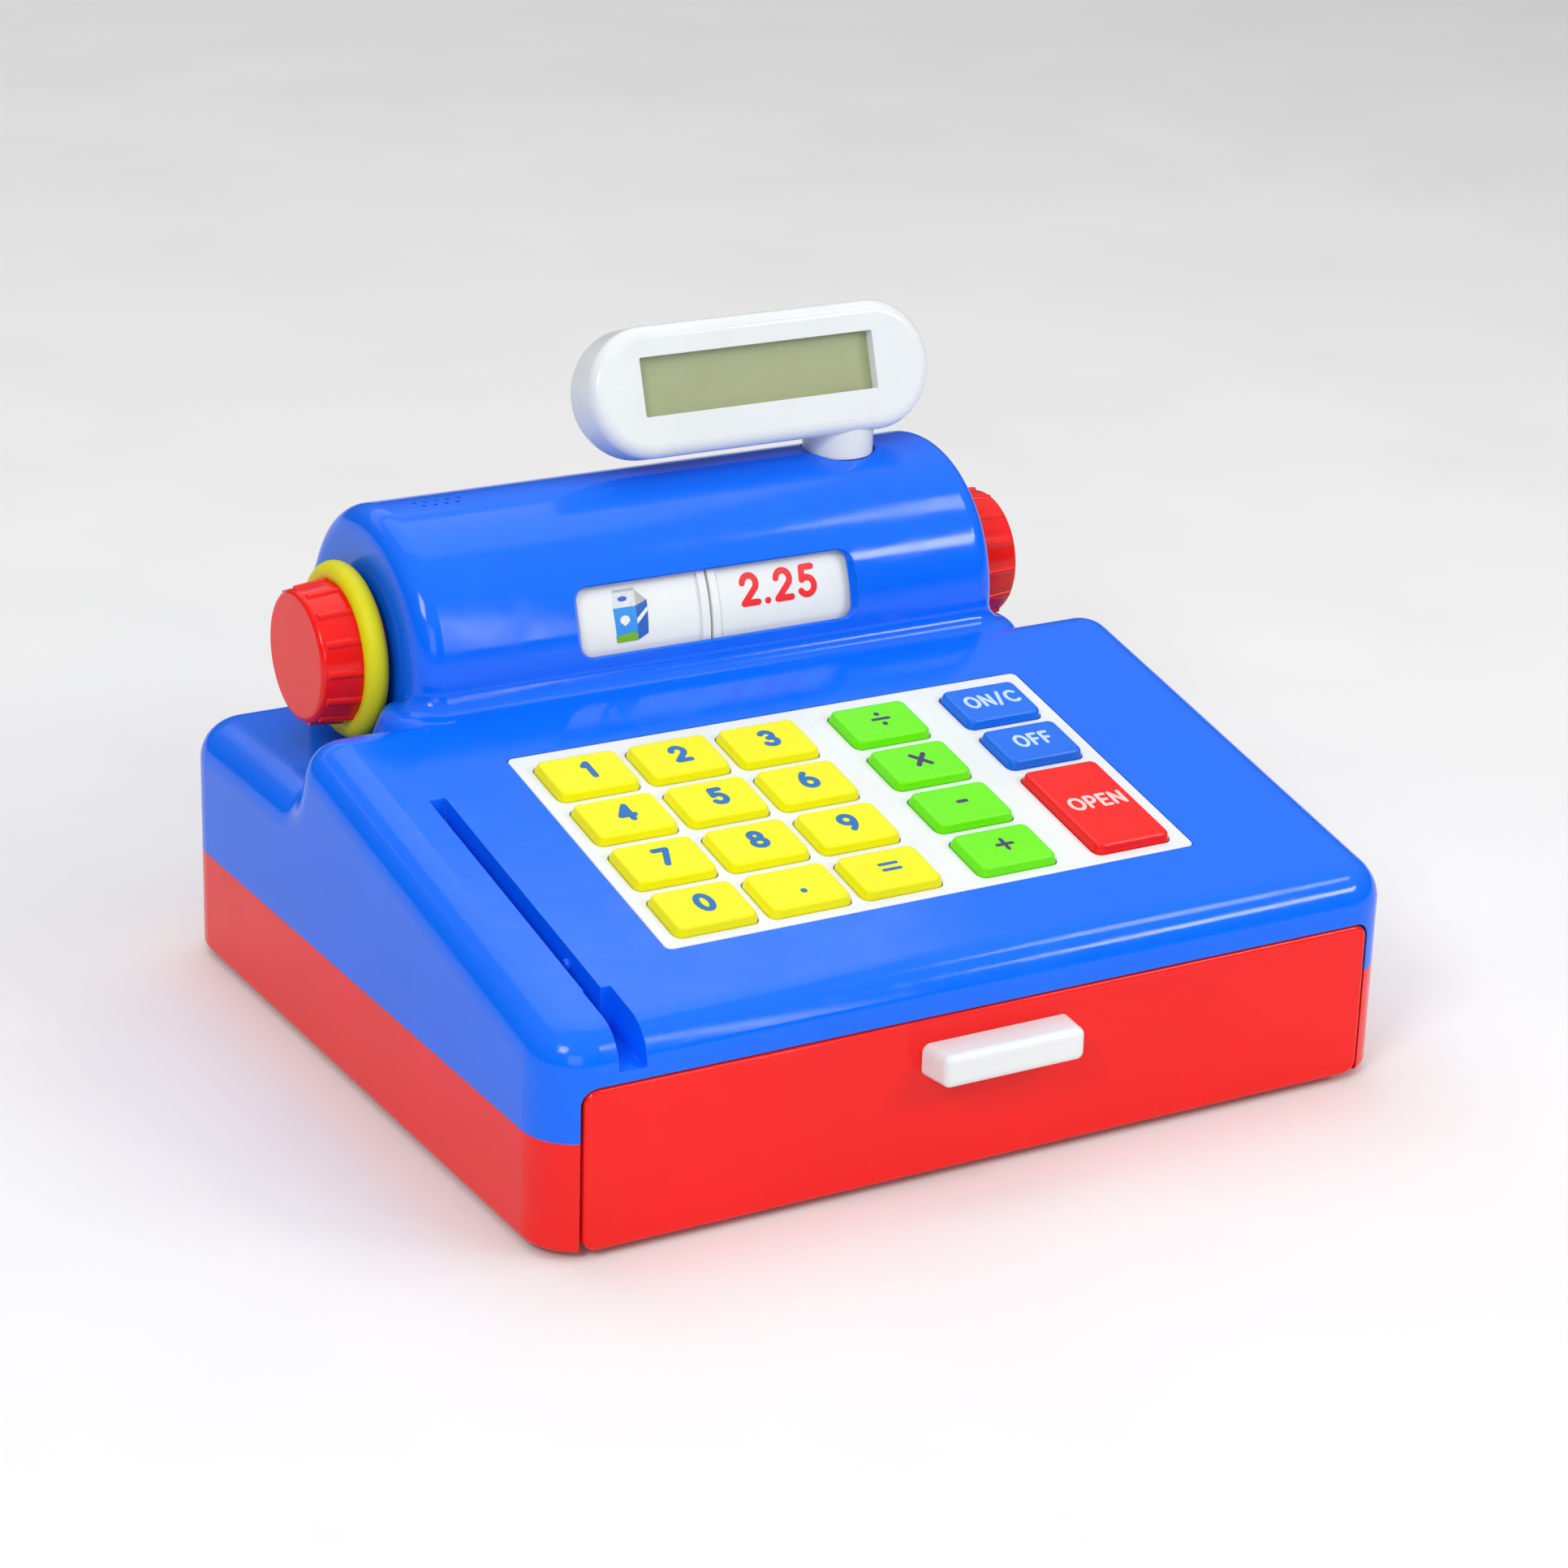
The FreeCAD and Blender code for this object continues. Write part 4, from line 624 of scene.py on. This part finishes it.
# Each picture is a list of (colour, polygons), painted in that order, in mm round its centre.
PICTURES = (
    # milk carton
    [("fold", [[(-6.0, 3.0), (1.8, 3.0), (2.2, 8.6), (-5.3, 8.6)]]),
     ("shade", [[(1.8, 3.0), (5.9, 4.6), (2.2, 8.7)], [(-5.4, 8.5), (2.2, 8.5), (2.1, 9.4), (-5.3, 9.4)]]),
     ("sky", [[(-5.5, -9.2), (1.8, -9.2), (1.8, 3.0), (-6.0, 3.0)]]),
     ("sea", [[(1.8, -9.2), (5.4, -7.2), (5.9, 4.6), (1.8, 3.0)], oval(-2.4, 6.0, 1.6, 0.9)]),
     ("paper", [[(-2.4, -3.6)] + arc(-2.4, -1.6, 1.7, 1.7, -20, 200),
                [(1.8, -3.5), (5.6, 0.6), (5.7, 2.2), (1.8, -1.5)]]),
     ("leaf", [[(-5.5, -9.2), (1.8, -9.2), (1.8, -6.4)] + arc(-0.6, -7.0, 2.4, 0.9, 20, 120)
               + arc(-4.0, -7.6, 2.0, 1.0, 60, 160) + [(-5.6, -7.4)]])],
    # apple
    [("red", [oval(-2.4, -0.8, 4.4, 5.8), oval(2.4, -0.8, 4.4, 5.8)]),
     ("brown", [outline([(0, 4), (0.9, 7.6)], 0.45)]),
     ("leaf", [oval(3.2, 6.3, 2.3, 1.1)]), ("pink", [oval(-4.2, 1.6, 0.9, 1.9)])],
    # loaf
    [("crust", [oval(0, -1, 8, 5.6, -20, 200), [(-7.4, -6.2), (7.4, -6.2), (7.6, -2), (-7.6, -2)]]),
     ("crumb", [outline([(x, 0.2), (x + 1.6, 3.2)], 0.6) for x in (-4.8, -1.2, 2.4)])],
    # cheese
    [("yellow", [[(-7.4, -5.4), (7.4, -5.4), (7.4, 0), (-7.4, 0)], [(-7.4, 0), (7.4, 0), (4.0, 5.6)]]),
     ("orange", [oval(-4, -3, 1.3, 1.1), oval(1.6, -2.2, 1.7, 1.4), oval(5.4, -3.8, 0.9, 0.8)]),
     ("crumb", [[(-7.0, 0.2), (7.0, 0.2), (3.9, 5.1)]])],
    # carrot
    [("leaf", [outline([(3.2, 3.4), (x, y)], 0.7) for x, y in ((3.4, 8.6), (6.2, 7.6), (8.0, 5.0))]),
     ("orange", [[(-7.4, -7.4), (4.9, 1.4)] + arc(3.2, 3.2, 2.5, 2.5, -30, 110) + [(1.4, 4.9)]]),
     ("crust", [outline([(0.4, 1.4), (1.8, 0.4)], 0.25), outline([(-3.4, -2.0), (-2.5, -2.7)], 0.25)])],
    # orange
    [("orange", [oval(0, -1, 6.8, 6.8)]), ("leaf", [oval(2.0, 6.0, 2.5, 1.1)]),
     ("yellow", [oval(-2.7, 2.0, 1.7, 1.2)])],
    # glass of juice
    [("shade", [[(-3.6, -8.0), (3.6, -8.0), (4.8, 7.0), (-4.8, 7.0)]]),
     ("orange", [[(-3.2, -7.4), (3.2, -7.4), (4.1, 4.0), (-4.1, 4.0)]]),
     ("red", [outline([(0.6, -3), (3.6, 9.2)], 0.4)]), ("yellow", [oval(0, 4.0, 4.1, 0.9)])],
    # banana
    [("yellow", [arc(0, 4.0, 8.2, 8.6, 190, 345) + arc(0.6, 6.4, 6.4, 6.4, 340, 205)]),
     ("brown", [outline([(7.9, 2.0), (8.4, 4.2)], 0.6), oval(-7.7, 2.9, 0.7, 0.7)])],
    # biscuit
    [("crust", [oval(0, 0, 7.2, 7.2)]), ("crumb", [oval(0, 0, 6.3, 6.3)]),
     ("brown", [oval(x, y, 1.1, 0.9)
                for x, y in ((-3, 2), (1, 3.8), (3.6, 0.2), (0, -0.6), (-2.6, -3.2), (2.4, -3.6))])],
    # pear
    [("leaf", [oval(0, -3.2, 5.6, 5.0), oval(0, 2.4, 3.1, 4.0)]),
     ("brown", [outline([(0, 6.2), (0.9, 8.8)], 0.4)]), ("yellow", [oval(-2.6, -2.4, 1.1, 2.0)])],
    # fish
    [("sky", [oval(-1, 0, 6.8, 4.0), [(4.4, 0), (8.4, -3.6), (8.0, 0), (8.4, 3.6)]]),
     ("paper", [oval(-5.2, 1.0, 0.9, 0.9)]), ("sea", [outline([(-3.0, -2.2), (-2.4, 2.2)], 0.3)])],
    # ice cream
    [("crumb", [[(0, -9.2), (4.0, 1.0), (-4.0, 1.0)]]), ("pink", [oval(0, 3.4, 4.8, 4.6)]),
     ("paper", [oval(-1.6, 5.2, 1.4, 1.1)]), ("red", [oval(0.4, 8.3, 1.1, 1.1)])],
)
CARTON_SIZE = (1.05, 0.92)      # scale of the carton across and up
SMALL_PICTURE = (0.82, 0.82)    # scale of the other pictures
LAYER_RISE = 0.035              # each colour of a picture lies this much over the one before, mm
PICTURE_DROP = 2.4              # pictures sit this far below the middle of the window, mm


def item_prints():
    """Twelve shopping pictures round the left drum."""
    inks = {name: ink("print_" + name, colour) for name, colour in PRINT_COLOURS.items()}
    layers = []
    for stop, picture in enumerate(PICTURES):
        lay = drum_layer("item_drum", ITEM_X, WINDOW_ANGLE + 2 * pi * stop / DRUM_STOPS)
        wide, tall = SMALL_PICTURE if stop else CARTON_SIZE
        for depth, (colour, polygons) in enumerate(picture):
            sized = [[(u * wide, v * tall - PICTURE_DROP) for u, v in polygon] for polygon in polygons]
            layers.append((raised(sized, lay, INK + depth * LAYER_RISE, WRAP_STEP), inks[colour]))
    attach(as_object("item_prints", layers), "item_selector")


# ---- card clicker's coil --------------------------------------------------------------
def clicker_coil():
    """Coil behind the card clicker; it stands for the stiff CAD one."""
    node, click = "clicker_spring", JOINTS["card_click"]
    bm = bmesh.new()
    bm.from_mesh(NODES[node].data)
    made = as_object("clicker_coil", [(bm, NODES[node].material_slots[0].material)])
    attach(made, click["parent"])
    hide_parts(node)
    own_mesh(made)


# ---- camera, floor, light -------------------------------------------------------------
def camera():
    """Camera at the photograph's place and angle, slightly rolled."""
    a, e, r = radians(CAM_AZIMUTH), radians(CAM_ELEVATION), radians(CAM_ROLL)
    back = Vector((sin(a) * cos(e), -cos(a) * cos(e), sin(e)))
    level = Vector((0, 0, 1)).cross(back).normalized()
    right = level * cos(r) + back.cross(level) * sin(r)
    data = bpy.data.cameras.new("camera")
    data.lens, data.sensor_width = CAM_LENS, CAM_SENSOR
    made = bpy.data.objects.new("camera", data)
    turned = Matrix((right, back.cross(right), back)).transposed().to_4x4()
    made.matrix_world = Matrix.Translation(CAM_PLACE) @ turned
    bpy.context.scene.collection.objects.link(made)
    bpy.context.scene.camera = made


def floor():
    bm = bmesh.new()
    bmesh.ops.create_grid(bm, x_segments=8, y_segments=8, size=FLOOR_SIZE / 2)
    made = as_object("floor", [(bm, floor_paper("floor_paper"))])
    made.location.z = CAD_BOX[0].z


def softbox(name, place, target, size, power):
    data = bpy.data.lights.new(name, "AREA")
    data.shape, data.size, data.size_y, data.energy = "RECTANGLE", size[0], size[1], power
    made = bpy.data.objects.new(name, data)
    made.location = place
    made.rotation_euler = (Vector(target) - Vector(place)).to_track_quat("-Z", "Y").to_euler()
    bpy.context.scene.collection.objects.link(made)


def studio():
    """White room, bright overhead and dim at the horizon, with softboxes and two window panes."""
    world = bpy.data.worlds.new("studio")
    world.use_nodes = True
    tree = world.node_tree
    background = tree.nodes["Background"]
    split = tree.nodes.new("ShaderNodeSeparateXYZ")
    tree.links.new(tree.nodes.new("ShaderNodeTexCoord").outputs["Generated"], split.inputs[0])
    sky = tree.nodes.new("ShaderNodeMapRange")
    sky.interpolation_type = "SMOOTHSTEP"
    tree.links.new(split.outputs["Z"], sky.inputs[0])
    for i, number in enumerate((0.0, SKY_TOP, HORIZON, ZENITH), 1):
        sky.inputs[i].default_value = number
    tree.links.new(sky.outputs[0], background.inputs["Strength"])
    background.inputs["Color"].default_value = (1, 1, 1, 1)
    bpy.context.scene.world = world
    for name, settings in SOFTBOXES.items():
        softbox(name, *settings)
    bpy.context.scene.view_settings.view_transform = "Standard"


camera()
floor()
studio()
dress_frame()
key_legends()
price_prints()
item_prints()
clicker_coil()
